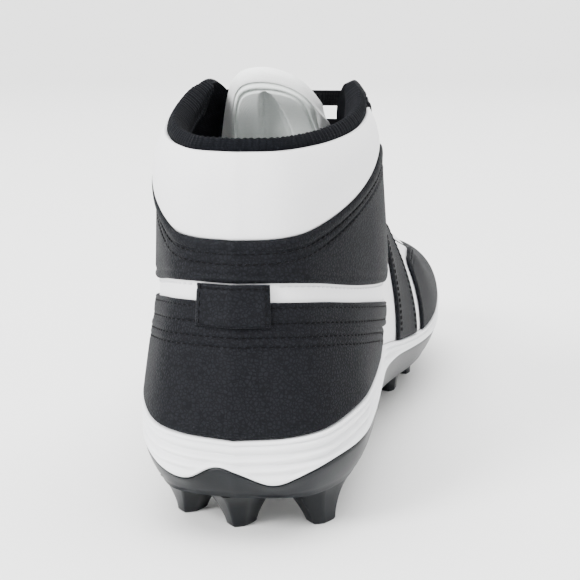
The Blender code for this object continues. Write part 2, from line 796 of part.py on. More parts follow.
def sheet_faces(columns, rows):
    """Faces of a closed slab of two grids of points."""
    faces = []
    width = rows + 1
    under = width * (columns + 1)

    def at(i, j):
        return i * width + j

    for i in range(columns):
        for j in range(rows):
            quad = (at(i, j), at(i + 1, j), at(i + 1, j + 1), at(i, j + 1))
            faces.append(quad)
            faces.append(tuple(under + v for v in reversed(quad)))
        for j in (0, rows):
            faces.append((at(i, j), at(i + 1, j), under + at(i + 1, j), under + at(i, j)))
    for i in (0, columns):
        for j in range(rows):
            faces.append((at(i, j), at(i, j + 1), under + at(i, j + 1), under + at(i, j)))
    return faces


LACE_FIRST, LACE_LAST = 0.450, 0.655
LACE_ENDS = 0.86  # where a bar goes into its eyelets, as a share of the rib
EYESTAY_STEPS = 4
THROAT_STEPS = 4


def lace_line(q):
    """One edge of a bar: up the lateral eyestay, over the throat and down the medial one."""
    lift = LAY + OVERLAY + LAY
    sides = []
    for side in (LATERAL, MEDIAL):
        face = [upper_point(side * q, w, lift) for w in np.linspace(LACE_ENDS, 1.0, EYESTAY_STEPS + 1)]
        over = face[-1] - face[-2]
        face[-1] = face[-1] + over / np.linalg.norm(over) * LAY
        sides.append(face)
    lateral, medial = sides
    gap = medial[-1] - lateral[-1]
    throat = [lateral[-1] + gap * share for share in np.linspace(0, 1, THROAT_STEPS + 1)[1:-1]]
    return lateral + throat + medial[::-1]


def build_laces():
    """Straight bars of flat lace over the throat."""
    half = LACE_WIDTH / 2 / side_length(MEDIAL)
    for row in range(EYELET_ROWS):
        q = LACE_FIRST + (LACE_LAST - LACE_FIRST) * row / (EYELET_ROWS - 1)
        edges = np.array(list(zip(lace_line(q - half), lace_line(q + half))))
        run = np.gradient(edges.mean(axis=1), axis=0)
        up = np.cross(edges[:, 0] - edges[:, 1], run)
        up /= np.linalg.norm(up, axis=1, keepdims=True)
        points = [p for pair in edges for p in pair]
        points += [p + n * LACE_THICK for pair, n in zip(edges, up) for p in pair]
        add_solid(f"lace_bar_{row + 1}", points, sheet_faces(len(edges) - 1, 1), BLACK_WEBBING)


def build_studs():
    """Moulded studs with hollow flanks, each flat on the floor."""
    for name, tip, root, turn in STUDS:
        cosine, sine = math.cos(math.radians(turn)), math.sin(math.radians(turn))
        rings = []
        for share, spread in STUD_SECTIONS:
            along = root[0] + (tip[0] - root[0]) * share
            across = (root[1] + (tip[1] - root[1]) * share) * local_width(along)
            ring = []
            for a, b in STUD_OUTLINE:
                x = a * (STUD_TIP[0] + (STUD_ROOT[0] - STUD_TIP[0]) * spread) / 2
                y = b * (STUD_TIP[1] + (STUD_ROOT[1] - STUD_TIP[1]) * spread) / 2
                ring.append(np.array([across + x * cosine - y * sine,
                                      (along - 0.5) * LENGTH + x * sine + y * cosine]))
            rings.append(ring)
        points = []
        for (share, _), ring in zip(STUD_SECTIONS, rings):
            for x, y in ring:
                points.append((x, y, (plate_bottom(y) - GAP) * (1 - share)))
        count = len(STUD_OUTLINE)
        faces = [tuple(range(count)), tuple(reversed(range(len(points) - count, len(points))))]
        for i in range(len(rings) - 1):
            faces += ring_faces(i * count, (i + 1) * count, count)
        add_solid(name, points, faces, BLACK_PLASTIC)


def main():
    for thing in list(bpy.data.objects):
        bpy.data.objects.remove(thing, do_unlink=True)
    build_upper()
    build_midsole()
    build_plate()
    build_insole()
    build_heel_panels()
    build_front_panels()
    build_lining()
    build_tongue()
    build_laces()
    build_studs()


main()
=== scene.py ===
"""American football cleat, left shoe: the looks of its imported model.

Metres, +Z up, toe along +Y, medial side along +X. The shoe is dressed in the order in which it is
put together, from the plate under the foot to the laces, and each section makes one piece.
"""

import math

import bmesh
import bpy
import numpy as np
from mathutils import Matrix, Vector


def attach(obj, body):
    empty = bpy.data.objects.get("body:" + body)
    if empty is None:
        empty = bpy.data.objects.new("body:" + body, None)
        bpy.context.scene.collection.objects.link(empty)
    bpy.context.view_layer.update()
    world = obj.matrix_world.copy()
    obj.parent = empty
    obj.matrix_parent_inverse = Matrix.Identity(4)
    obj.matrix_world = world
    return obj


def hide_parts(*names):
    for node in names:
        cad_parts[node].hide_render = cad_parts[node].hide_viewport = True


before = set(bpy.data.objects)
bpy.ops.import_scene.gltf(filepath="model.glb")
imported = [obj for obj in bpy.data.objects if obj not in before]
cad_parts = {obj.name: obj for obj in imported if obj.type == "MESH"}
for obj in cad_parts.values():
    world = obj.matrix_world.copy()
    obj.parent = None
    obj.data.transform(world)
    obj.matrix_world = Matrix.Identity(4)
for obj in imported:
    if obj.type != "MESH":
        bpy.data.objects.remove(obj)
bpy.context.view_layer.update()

# Camera. It stands behind the heel, a little to the medial side and above the collar, and is aimed
# at the middle of the shoe.
CAMERA_PLACE = Vector((0.0815, -0.5359, 0.1677))
CAMERA_AIM = Vector((0.0095, -0.0889, 0.0708))
CAMERA_LENS = 83.0

camera = bpy.data.objects.new("camera", bpy.data.cameras.new("camera"))
bpy.context.scene.collection.objects.link(camera)
camera.data.sensor_width = 36.0
camera.data.lens = CAMERA_LENS
camera.location = CAMERA_PLACE
camera.rotation_euler = (CAMERA_AIM - CAMERA_PLACE).to_track_quat("-Z", "Y").to_euler()
bpy.context.scene.camera = camera

# Midsole. White moulded foam, one piece from heel to toe, with soft ridges along its side and a
# thin lip on which the upper is lasted. Under the heel its lower edge waves round the plate.
LENGTH = 0.298
BALL_WIDTH = 0.106
HEEL_WIDTH = 0.080
HEEL_END, BALL_START = 0.30, 0.65
STUD_HEIGHT = 0.0125
SOLE_THICK = 0.0221
PLATE_THICK = 0.0030
WALL = 0.0020
GAP = 0.0003
RIM_LEDGE = 0.0022
CUP_SLOPE = 0.0015
SIDE_ROUND = 0.0155
ROUND_START = 0.0130
INNER_INSET = 0.0140
PLACE = np.array([0.000907, 0.0006, 0.0])
RING_POINTS = 720
# Shares of the side's height at which it has a ring: close together where it turns in at both ends.
SIDE_LEVELS = (0.0, 0.02, 0.05, *np.linspace(0.08, 0.96, 45), 0.98, 0.992, 1.0)
LOW_ROUND, TOP_ROUND = 0.0010, 0.0009
FURROW_FADE = 0.0025
LATERAL, MEDIAL = -1, 1
FOAM_WHITE = (0.72, 0.725, 0.74), (0.79, 0.795, 0.81)

# Outline of the rim: share of the length, then lateral and medial shares of the local width.
OUTLINE = (
    (0.000, 0.000, 0.000),
    (0.010, 0.225, 0.225),
    (0.034, 0.358, 0.366),
    (0.090, 0.452, 0.472),
    (0.160, 0.478, 0.500),
    (0.280, 0.492, 0.492),
    (0.400, 0.502, 0.471),
    (0.500, 0.512, 0.462),
    (0.600, 0.512, 0.474),
    (0.690, 0.506, 0.494),
    (0.790, 0.462, 0.484),
    (0.880, 0.375, 0.440),
    (0.942, 0.252, 0.370),
    (0.983, 0.100, 0.262),
    (1.000, -0.085, 0.085),
)
# Middle of the sole: share of the length, then the plate's underside and the footbed.
SOLE_MIDDLE = (
    (0.00, 0.045, 0.769),
    (0.08, 0.050, 0.769),
    (0.20, 0.095, 0.814),
    (0.32, 0.167, 0.860),
    (0.42, 0.176, 0.814),
    (0.52, 0.086, 0.679),
    (0.62, 0.005, 0.588),
    (0.70, 0.000, 0.566),
    (0.78, 0.041, 0.611),
    (0.86, 0.167, 0.710),
    (0.94, 0.407, 0.860),
    (1.00, 0.656, 1.018),
)
# Rim of the midsole: way round the sole from heel to toe, and height.
RIM = (
    (0.00, 1.000),
    (0.05, 1.041),
    (0.09, 1.113),
    (0.14, 1.258),
    (0.19, 1.344),
    (0.29, 1.391),
    (0.36, 1.305),
    (0.42, 1.140),
    (0.50, 0.930),
    (0.60, 0.796),
    (0.66, 0.851),
    (0.74, 0.977),
    (0.82, 1.109),
    (0.91, 1.250),
    (1.00, 1.329),
)
# Lower edge of the midsole: way, then lateral and medial height.
EDGE = (
    (0.000, 0.545, 0.545),
    (0.023, 0.593, 0.374),
    (0.034, 0.452, 0.295),
    (0.050, 0.335, 0.358),
    (0.065, 0.397, 0.475),
    (0.090, 0.561, 0.609),
    (0.140, 0.703, 0.718),
    (0.250, 0.812, 0.851),
    (0.350, 0.828, 0.867),
    (0.430, 0.765, 0.812),
    (0.530, 0.640, 0.648),
    (0.640, 0.554, 0.561),
    (0.730, 0.640, 0.640),
    (0.820, 0.765, 0.765),
    (0.910, 0.906, 0.906),
    (1.000, 0.977, 0.977),
)
# Soft furrows of its side: distance below the rim, half width and depth. The first sets off the lip.
FURROWS = (
    (0.0016, 0.0004, 0.0008),
    (0.0048, 0.0010, 0.0016),
    (0.0082, 0.0010, 0.0016),
    (0.0116, 0.0010, 0.0012),
)


def unit(way):
    return way / np.linalg.norm(way, axis=-1, keepdims=True)


def smooth_run(t, step, start, slope, end, end_slope):
    """A smooth run from one value to the next, with the slopes that it has at both."""
    return (
        start * (2 * t**3 - 3 * t**2 + 1)
        + slope * step * (t**3 - 2 * t**2 + t)
        + end * (3 * t**2 - 2 * t**3)
        + end_slope * step * (t**3 - t**2)
    )


def curve(rows, at):
    """The values at some places of a smooth line through the rows, whose first column is the place."""
    rows = np.asarray(rows, float)
    at = np.clip(np.asarray(at, float), rows[0, 0], rows[-1, 0])
    slopes = np.gradient(rows[:, 1:], rows[:, 0], axis=0)
    i = np.clip(np.searchsorted(rows[:, 0], at) - 1, 0, len(rows) - 2)
    step = (rows[i + 1, 0] - rows[i, 0])[..., None]
    t = (at - rows[i, 0])[..., None] / step
    return smooth_run(t, step, rows[i, 1:], slopes[i], rows[i + 1, 1:], slopes[i + 1])


def ease(t):
    t = np.clip(t, 0.0, 1.0)
    return t * t * (3 - 2 * t)


def local_width(along):
    return HEEL_WIDTH + (BALL_WIDTH - HEEL_WIDTH) * ease((along - HEEL_END) / (BALL_START - HEEL_END))


def outline_run(column, side):
    """One side of the outline, finely divided, and the share of the way at each point."""
    rows = [(i, row[0], row[column]) for i, row in enumerate(OUTLINE)]
    along, share = curve(rows, np.linspace(0, len(rows) - 1, 40 * len(rows))).T
    points = np.stack([side * share * local_width(along), (along - 0.5) * LENGTH], axis=-1)
    way = np.concatenate([[0.0], np.cumsum(np.hypot(*np.diff(points, axis=0).T))])
    return points, way / way[-1], way[-1]


RUNS = {LATERAL: outline_run(1, LATERAL), MEDIAL: outline_run(2, MEDIAL)}
SIDE_LENGTH = RUNS[MEDIAL][2]


def outline(q):
    """q runs from -1 at the toe, down the lateral side, 0 at the heel, to 1 at the toe."""
    q = (np.asarray(q, float) + 1.0) % 2.0 - 1.0
    found = np.empty(q.shape + (2,))
    for side in (LATERAL, MEDIAL):
        points, way, _ = RUNS[side]
        here = (q >= 0) == (side > 0)
        for axis in (0, 1):
            found[here, axis] = np.interp(np.abs(q[here]), way, points[:, axis])
    return found


def inward(q):
    q = np.asarray(q, float)
    ahead = unit(outline(q + 0.012) - outline(q - 0.012))
    return np.stack([-ahead[..., 1], ahead[..., 0]], axis=-1)


def rim(q, inset=0.0):
    return outline(q) + inward(q) * np.asarray(inset, float)[..., None]


def over_studs(share):
    return STUD_HEIGHT + share * SOLE_THICK


def rim_height(q):
    return over_studs(curve(RIM, np.abs(q))[..., 0])


EDGE_EASING = ((-0.012, 0.12), (-0.006, 0.23), (0.0, 0.30), (0.006, 0.23), (0.012, 0.12))


def edge_height(q):
    """Height of the joint with the plate, eased a little along its way so that its waves are round."""
    share = 0.0
    for away, part in EDGE_EASING:
        at = (q + away + 1.0) % 2.0 - 1.0
        lateral, medial = np.moveaxis(curve(EDGE, np.abs(at)), -1, 0)
        share = share + part * np.where(at >= 0, medial, lateral)
    return over_studs(share)


def plate_bottom(y):
    return over_studs(curve(SOLE_MIDDLE, y / LENGTH + 0.5)[..., 0])


def footbed(y):
    return over_studs(curve(SOLE_MIDDLE, y / LENGTH + 0.5)[..., 1])


def side_inset(q, height):
    """How far the rounded lower side of the sole stands in at a height."""
    drop = np.maximum(plate_bottom(outline(q)[..., 1]) + ROUND_START - height, 0.0)
    return SIDE_ROUND - np.sqrt(np.maximum(SIDE_ROUND**2 - drop**2, 0.0))


def as_ring(xy, height):
    return np.concatenate([xy, np.asarray(height)[..., None]], axis=-1)


def closed_mesh(name, points, faces, finishes, face_finish=None, fit=None):
    """A clean mesh object at the shoe's place. fit is the piece's own flat coordinates in metres."""
    mesh = bpy.data.meshes.new(name)
    mesh.from_pydata((np.asarray(points) + PLACE).tolist(), [], faces)
    for finish in finishes:
        mesh.materials.append(finish)
    if face_finish is not None:
        mesh.polygons.foreach_set("material_index", face_finish)
    if fit is not None:
        corners = np.empty(len(mesh.loops), int)
        mesh.loops.foreach_get("vertex_index", corners)
        mesh.uv_layers.new(name="fit").data.foreach_set("uv", np.asarray(fit, float)[corners].ravel())
    shape = bmesh.new()
    shape.from_mesh(mesh)
    bmesh.ops.remove_doubles(shape, verts=shape.verts, dist=2e-6)
    bmesh.ops.dissolve_degenerate(shape, edges=shape.edges, dist=1e-6)
    bmesh.ops.recalc_face_normals(shape, faces=shape.faces)
    shape.to_mesh(mesh)
    shape.free()
    mesh.shade_smooth()
    mesh.set_sharp_from_angle(angle=math.radians(50))
    piece = bpy.data.objects.new(name, mesh)
    bpy.context.scene.collection.objects.link(piece)
    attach(piece, "root")
    return piece


def grid_faces(columns, rows, first=0, loop=False):
    """Quads over a grid of points. With loop the last column joins the first."""
    faces = []
    for i in range(columns if loop else columns - 1):
        ahead = (i + 1) % columns
        for j in range(rows - 1):
            faces.append((first + i * rows + j, first + ahead * rows + j,
                          first + ahead * rows + j + 1, first + i * rows + j + 1))
    return faces


def sole_shell(name, rings, across, finish):
    """A closed body of the sole from rings that start and end flat. across shapes the two lids."""
    count = len(rings[0])
    columns = np.stack(rings, axis=1)
    points = [columns.reshape(-1, 3)]
    faces = grid_faces(count, len(rings), loop=True)
    half = count // 2
    shares = np.linspace(0, 1, 25)[:, None]
    first = columns.size // 3
    for ring, surface in zip((rings[0], rings[-1]), across):
        for_lateral, for_medial = ring[half::-1], np.concatenate([ring[half:], ring[:1]])
        lid = for_lateral[:, None] + (for_medial - for_lateral)[:, None] * shares
        lid[:, 1:-1, 2] = surface(lid[:, 1:-1])
        points.append(lid.reshape(-1, 3))
        faces += grid_faces(half + 1, 25, first)
        first += lid.size // 3
    return closed_mesh(name, np.concatenate(points), faces, [finish])


def shader_of(name, colour, roughness, gloss=0.35):
    """A new material, its node tree and its shader."""
    made = bpy.data.materials.new(name)
    made.use_nodes = True
    shader = made.node_tree.nodes["Principled BSDF"]
    shader.inputs["Base Color"].default_value = (*colour, 1.0)
    shader.inputs["Roughness"].default_value = roughness
    shader.inputs["Specular IOR Level"].default_value = gloss
    return made, made.node_tree, shader


def wire(tree, kind, links=(), **values):
    """Adds a node, sets its inputs and joins (input, source socket) pairs."""
    node = tree.nodes.new(kind)
    for name, value in values.items():
        node.inputs[name.replace("_", " ")].default_value = value
    for name, source in links:
        tree.links.new(source, node.inputs[name])
    return node


def relief(tree, shader, height, distance, strength=1.0, under=None):
    bump = wire(tree, "ShaderNodeBump", [("Height", height)], Strength=strength, Distance=distance)
    if under is not None:
        tree.links.new(under.outputs["Normal"], bump.inputs["Normal"])
    tree.links.new(bump.outputs["Normal"], shader.inputs["Normal"])
    return bump


def noise(tree, scale, detail=2.0):
    """Soft noise fixed to the shoe, at so many waves a metre."""
    place = wire(tree, "ShaderNodeTexCoord").outputs["Object"]
    return wire(tree, "ShaderNodeTexNoise", [("Vector", place)], Scale=scale, Detail=detail).outputs[0]


def mottled(tree, shader, source, tones, low=0.35, high=0.65):
    """Base colour between two tones, the dark one first, by a soft pattern."""
    ramp = wire(tree, "ShaderNodeValToRGB", [("Fac", source)])
    for stop, place, tone in zip(ramp.color_ramp.elements, (low, high), tones):
        stop.position = place
        stop.color = (*tone, 1.0)
    tree.links.new(ramp.outputs["Color"], shader.inputs["Base Color"])


def foam_finish():
    made, tree, shader = shader_of("moulded foam", FOAM_WHITE[1], 0.52)
    mottled(tree, shader, noise(tree, 28.0, 4.0), FOAM_WHITE)
    relief(tree, shader, noise(tree, 900.0), 0.00008, 0.5)
    return made


RING = (np.arange(RING_POINTS) + 0.5) / (RING_POINTS / 2) - 1.0
low_edge = edge_height(RING) + GAP
foot_edge = RIM_LEDGE + WALL + GAP
inner_xy = rim(RING, INNER_INSET)
rings = [as_ring(inner_xy, plate_bottom(inner_xy[:, 1]) + PLATE_THICK + GAP)]
for share in SIDE_LEVELS:
    height = low_edge + (rim_height(RING) - low_edge) * share
    below = rim_height(RING) - height
    furrow = sum(depth * np.exp(-((below - at) / wide) ** 2) for at, wide, depth in FURROWS)
    furrow *= ease((height - low_edge) / FURROW_FADE)
    rounding = LOW_ROUND * max(0.0, (0.05 - share) / 0.05) ** 2
    rounding += TOP_ROUND * max(0.0, (share - 0.96) / 0.04) ** 2
    rings.append(as_ring(rim(RING, side_inset(RING, height) + furrow + rounding), height))
rings.append(as_ring(rim(RING, foot_edge), rim_height(RING)))
cup_xy = rim(RING, foot_edge + CUP_SLOPE)
rings.append(as_ring(cup_xy, footbed(cup_xy[:, 1])))
midsole = sole_shell("midsole_foam", rings, (
    lambda p: plate_bottom(p[..., 1]) + PLATE_THICK + GAP,
    lambda p: footbed(p[..., 1]),
), foam_finish())
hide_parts("midsole")

# Plate. Black moulded plastic that carries the studs. It wraps up behind the heel and along the
# flanks, ends in a sharp lit lower corner, and is stiffened below by shallow ribs.
PLASTIC_BLACK = (0.005, 0.006, 0.007), (0.009, 0.010, 0.012)
PLATE_RIB = 0.0008
PLATE_RIB_PITCH = 0.0090
PLATE_CORNER = PLATE_THICK / 4  # how high the corner stands over the underside
PLATE_LIP, PLATE_HOLLOW = 0.0005, 0.0006
FLANK_LEVELS = (1.0, 0.98, 0.94, 0.86, 0.74, 0.60, 0.46, 0.32, 0.20, 0.10, 0.04, 0.0)


def plastic_finish(name, roughness):
    made, tree, shader = shader_of(name, PLASTIC_BLACK[1], roughness, 0.16)
    mottled(tree, shader, noise(tree, 40.0, 3.0), PLASTIC_BLACK)
    relief(tree, shader, noise(tree, 1500.0), 0.00006, 0.5)
    return made


def plate_under(points):
    """Underside of the plate, with ribs that fade out towards the studs' margin."""
    wave = np.sin(points[..., 1] / PLATE_RIB_PITCH * 2 * math.pi) ** 8
    middle = ease(1 - np.abs(points[..., 0]) / 0.020)
    return plate_bottom(points[..., 1]) + PLATE_RIB * wave * middle


plate_plastic = plastic_finish("satin plastic", 0.36)
corner = plate_bottom(outline(RING)[:, 1]) + PLATE_CORNER
rings = [as_ring(inner_xy, plate_bottom(inner_xy[:, 1]) + PLATE_THICK)]
for share in FLANK_LEVELS:
    height = corner + (edge_height(RING) - corner) * share
    flank = PLATE_CORNER * ease(share / 0.10) + PLATE_LIP * ease((share - 0.94) / 0.06)
    hollow = PLATE_HOLLOW * math.sin(math.pi * min(share / 0.9, 1.0))
    rings.append(as_ring(rim(RING, side_inset(RING, height) + flank + hollow), height))
for inset, drop in ((0.45, 0.48), (0.75, 0.18), (1.0, 0.0)):
    under_xy = rim(RING, INNER_INSET * inset + side_inset(RING, corner) * (1 - inset))
    rings.append(as_ring(under_xy, plate_bottom(under_xy[:, 1]) + PLATE_CORNER * drop))
plate = sole_shell("plate_moulding", rings, (
    lambda p: plate_bottom(p[..., 1]) + PLATE_THICK,
    plate_under,
), plate_plastic)
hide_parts("plate")

# Studs. Thirteen moulded studs of the same plastic: a broad root, hollow flanks with a soft ridge
# down each corner, and a flat tip. Each leans with the edge of the plate that it stands under.
STUD_ROOT = (0.0185, 0.0235)
STUD_TIP = (0.0062, 0.0100)
STUD_OUTLINE = ((-0.35, 1.0), (-1.0, 0.25), (-0.85, -0.85), (0.45, -1.0), (1.0, -0.35), (0.80, 0.80))
STUD_SECTIONS = ((0.0, 1.0), (0.22, 0.66), (0.55, 0.30), (0.85, 0.07), (1.0, 0.0))
STUD_ROUNDING = 0.35
STUD_POINTS = 48  # round each level of a stud
# Place of the tip and of the root, in shares along the length and across the local width, and turn
# in degrees.
STUDS = (
    ("stud_heel_lateral", (0.104, -0.253), (0.098, -0.223), -36),
    ("stud_heel_centre", (0.070, -0.015), (0.068, -0.015), -36),
    ("stud_heel_medial", (0.092, 0.305), (0.104, 0.261), -36),
    ("stud_shank_lateral", (0.245, -0.328), (0.245, -0.298), 0),
    ("stud_shank_medial", (0.245, 0.320), (0.245, 0.290), 0),
    ("stud_ball_lateral_1", (0.545, -0.368), (0.545, -0.332), 8),
    ("stud_ball_lateral_2", (0.655, -0.371), (0.655, -0.340), 0),
    ("stud_ball_lateral_3", (0.765, -0.326), (0.765, -0.292), -14),
    ("stud_ball_medial_1", (0.624, 0.310), (0.622, 0.291), -10),
    ("stud_ball_medial_2", (0.724, 0.349), (0.722, 0.320), 6),
    ("stud_ball_centre", (0.700, -0.017), (0.700, -0.017), 0),
    ("stud_toe_medial", (0.842, 0.264), (0.840, 0.236), 20),
    ("stud_toe_lateral", (0.850, -0.112), (0.846, -0.096), -24),
)


def round_line(points, count, closed=False):
    """A smooth line through the points, at even shares between them."""
    points = np.asarray(points, float)
    if closed:
        points = np.concatenate([points[-1:], points, points[:2]])
        spots = np.linspace(1, len(points) - 2, count, endpoint=False)
    else:
        points = np.concatenate([2 * points[:1] - points[1:2], points, 2 * points[-1:] - points[-2:-1]])
        spots = np.linspace(1, len(points) - 2, count)
    i = np.clip(spots.astype(int), 1, len(points) - 3)
    t = (spots - i).reshape((-1,) + (1,) * (points.ndim - 1))
    before, start, end, after = points[i - 1], points[i], points[i + 1], points[i + 2]
    return 0.5 * (2 * start + (end - before) * t + (2 * before - 5 * start + 4 * end - after) * t**2
                  + (3 * start - before - 3 * end + after) * t**3)


def straight_loop(points, count):
    points = np.asarray(points + points[:1], float)
    spots = np.linspace(0, len(points) - 1, count, endpoint=False)
    return np.stack([np.interp(spots, range(len(points)), points[:, k]) for k in (0, 1)], axis=-1)


STUD_LOOP = (straight_loop(STUD_OUTLINE, STUD_POINTS) * (1 - STUD_ROUNDING)
             + round_line(STUD_OUTLINE, STUD_POINTS, closed=True) * STUD_ROUNDING)
stud_points, stud_faces = [], []
for name, tip, root, turn in STUDS:
    cosine, sine = math.cos(math.radians(turn)), math.sin(math.radians(turn))
    first = len(stud_points) * STUD_POINTS
    levels = np.concatenate([np.linspace(0, 0.96, 20), [0.985, 1.0]])
    for share in levels:
        spread = float(curve(STUD_SECTIONS, share)[0])
        pinch = 1 - 0.10 * ease((share - 0.96) / 0.04)
        half = [(t + (r - t) * spread) / 2 * pinch for t, r in zip(STUD_TIP, STUD_ROOT)]
        loop = STUD_LOOP * half
        along = root[0] + (tip[0] - root[0]) * share
        across = (root[1] + (tip[1] - root[1]) * share) * local_width(along)
        xy = np.stack([across + loop[:, 0] * cosine - loop[:, 1] * sine,
                       (along - 0.5) * LENGTH + loop[:, 0] * sine + loop[:, 1] * cosine], axis=-1)
        stud_points.append(as_ring(xy, (plate_bottom(xy[:, 1]) - GAP) * (1 - share)))
    for low in range(first, first + (len(levels) - 1) * STUD_POINTS, STUD_POINTS):
        high = low + STUD_POINTS
        for i in range(STUD_POINTS):
            ahead = (i + 1) % STUD_POINTS
            stud_faces.append((low + i, low + ahead, high + ahead, high + i))
    stud_faces.append(tuple(range(first, first + STUD_POINTS)))
    stud_faces.append(tuple(range(high + STUD_POINTS - 1, high - 1, -1)))
studs = closed_mesh("stud_mouldings", np.concatenate(stud_points), stud_faces,
                    [plastic_finish("stud plastic", 0.30)])
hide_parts(*(stud[0] for stud in STUDS))

# Insole. A pale brushed knit over thin foam, laid loose in the cup of the midsole. Only its top
# shows, deep inside the collar.
KNIT_PALE = (0.58, 0.63, 0.615), (0.70, 0.75, 0.735)


def knit_finish(name, tones, rib, depth, sheen):
    """Knitted cloth: ribs along the piece's own first coordinate, and rows of loops across them."""
    made, tree, shader = shader_of(name, tones[1], 0.88, 0.05)
    fit = wire(tree, "ShaderNodeUVMap")
    fit.uv_map = "fit"
    ribs = wire(tree, "ShaderNodeTexWave", [("Vector", fit.outputs["UV"])],
                Scale=0.314 / rib, Distortion=0.6, Detail=1.0).outputs["Fac"]
    rows = wire(tree, "ShaderNodeTexWave", [("Vector", fit.outputs["UV"])], Scale=0.314 / rib * 1.4)
    rows.bands_direction = "Y"
    fuzz = noise(tree, 1400.0, 3.0)
    loops = wire(tree, "ShaderNodeMath", [(0, ribs), (1, rows.outputs["Fac"])])
    loops.operation = "MULTIPLY"
    mottled(tree, shader, fuzz, tones, 0.30, 0.70)
    under = relief(tree, shader, loops.outputs[0], depth, 0.8)
    relief(tree, shader, fuzz, depth * 0.6, 0.6, under)
    shader.inputs["Sheen Weight"].default_value = sheen
    shader.inputs["Sheen Roughness"].default_value = 0.4
    return made


def brushed_finish():
    made, tree, shader = shader_of("brushed knit", KNIT_PALE[1], 0.9)
    fuzz = noise(tree, 1100.0, 3.0)
    mottled(tree, shader, fuzz, KNIT_PALE)
    relief(tree, shader, fuzz, 0.0002, 0.6)
    return made


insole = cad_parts["insole"]
insole.data.materials.clear()
insole.data.materials.append(brushed_finish())

# Upper. Smooth white leather lasted over the whole foot, backed by a dark knit on the inside. It is
# open at the collar and down the throat, and punched with small breathing holes over the toes.
ANKLE_WIDTH = 0.080
COLLAR_RISE = 0.0889
INSTEP_RISE = 0.1039
PAD_THICK = 0.0060
LEATHER_WHITE = (0.725, 0.722, 0.735), (0.74, 0.74, 0.75)
KNIT_BLACK = (0.0018, 0.0021, 0.0030), (0.0036, 0.0041, 0.0056)
LEAN_POWER = 1.6
UPRIGHT_END, ROUND_FROM = 0.46, 0.64
THROAT_END = 0.72
VAMP_TIP = 0.05
DYED_FROM = 0.40  # the cut edge is dyed black from here to the throat's end
UPPER_COLUMNS, UPPER_ROWS = 560, 61
TOP_LINE = (
    (0.00, 0.030, 0.000, 0.000, 0.856, 2.0),
    (0.05, 0.040, 0.150, 0.150, 0.857, 2.0),
    (0.10, 0.075, 0.255, 0.255, 0.861, 2.0),
    (0.16, 0.125, 0.345, 0.340, 0.873, 2.0),
    (0.23, 0.195, 0.410, 0.400, 0.897, 2.0),
    (0.30, 0.265, 0.428, 0.402, 0.935, 2.0),
    (0.36, 0.318, 0.400, 0.355, 0.982, 2.0),
    (0.41, 0.358, 0.335, 0.285, 1.010, 2.0),
    (0.45, 0.392, 0.275, 0.235, 0.930, 2.0),
    (0.50, 0.442, 0.232, 0.205, 0.745, 2.1),
    (0.57, 0.517, 0.206, 0.190, 0.530, 2.0),
    (0.64, 0.585, 0.185, 0.175, 0.410, 2.0),
    (0.69, 0.622, 0.095, 0.090, 0.352, 1.95),
    (0.72, 0.632, 0.000, 0.000, 0.338, 1.9),
    (0.80, 0.690, 0.000, 0.000, 0.295, 1.85),
    (0.90, 0.775, 0.000, 0.000, 0.255, 1.9),
    (1.00, 0.850, 0.000, 0.000, 0.215, 2.0),
)
SWELL_WAYS = np.array([0.00, 0.13, 0.27, 0.41, 0.60])
SWELL = (
    (0.00, 0.00, 0.00, 0.00, 0.00, 0.00),
    (0.12, 0.20, -0.20, 0.22, 0.10, 0.00),
    (0.30, 0.33, -0.45, 0.40, 0.15, 0.00),
    (0.50, 0.20, -0.55, 0.48, 0.18, 0.00),
    (0.70, 0.02, -0.25, 0.45, 0.20, 0.00),
    (0.85, 0.12, 0.35, 0.48, 0.20, 0.00),
    (0.94, 0.22, 0.32, 0.33, 0.15, 0.00),
    (1.00, 0.00, 0.00, 0.00, 0.00, 0.00),
)
# Soft troughs and ridges of the leather: place on the upper as q and w, half length in q, half
# height in w, slant and depth in metres.
CREASES = (
    (0.400, 0.52, 0.050, 0.050, 0.9, -0.0007),
    (-0.400, 0.50, 0.050, 0.050, -0.9, -0.0007),
    (0.330, 0.40, 0.045, 0.060, 0.7, -0.0005),
    (-0.340, 0.42, 0.045, 0.060, -0.7, -0.0005),
    (0.735, 0.72, 0.018, 0.240, 0.0, -0.0006),
    (-0.735, 0.74, 0.018, 0.240, 0.0, -0.0006),
    (0.775, 0.76, 0.014, 0.200, 0.0, -0.0004),
    (-0.770, 0.70, 0.014, 0.220, 0.0, -0.0004),
    (0.060, 0.22, 0.080, 0.060, 0.4, -0.0004),
    (-0.080, 0.30, 0.070, 0.050, -0.5, -0.0004),
    (0.030, 0.78, 0.100, 0.030, 0.2, -0.0003),
    (-0.130, 0.80, 0.070, 0.030, -0.3, -0.0004),
)


def foot_line(q):
    return as_ring(rim(q, RIM_LEDGE), rim_height((q + 1) % 2 - 1) + GAP)


def top_line(q):
    along, lateral, medial, rise, _ = np.moveaxis(curve(TOP_LINE, np.abs(q)), -1, 0)
    half = np.where(np.abs(q) >= THROAT_END, 0.0, np.maximum(np.where(q < 0, lateral, medial), 0.0))
    drift = 0.5 * outline(np.array([1.0]))[0, 0] * ease((np.abs(q) - 0.55) / 0.45)
    return np.stack([np.where(q < 0, -half, half) * ANKLE_WIDTH + drift, (along - 0.5) * LENGTH,
                     over_studs(1.0) + rise * INSTEP_RISE], axis=-1)


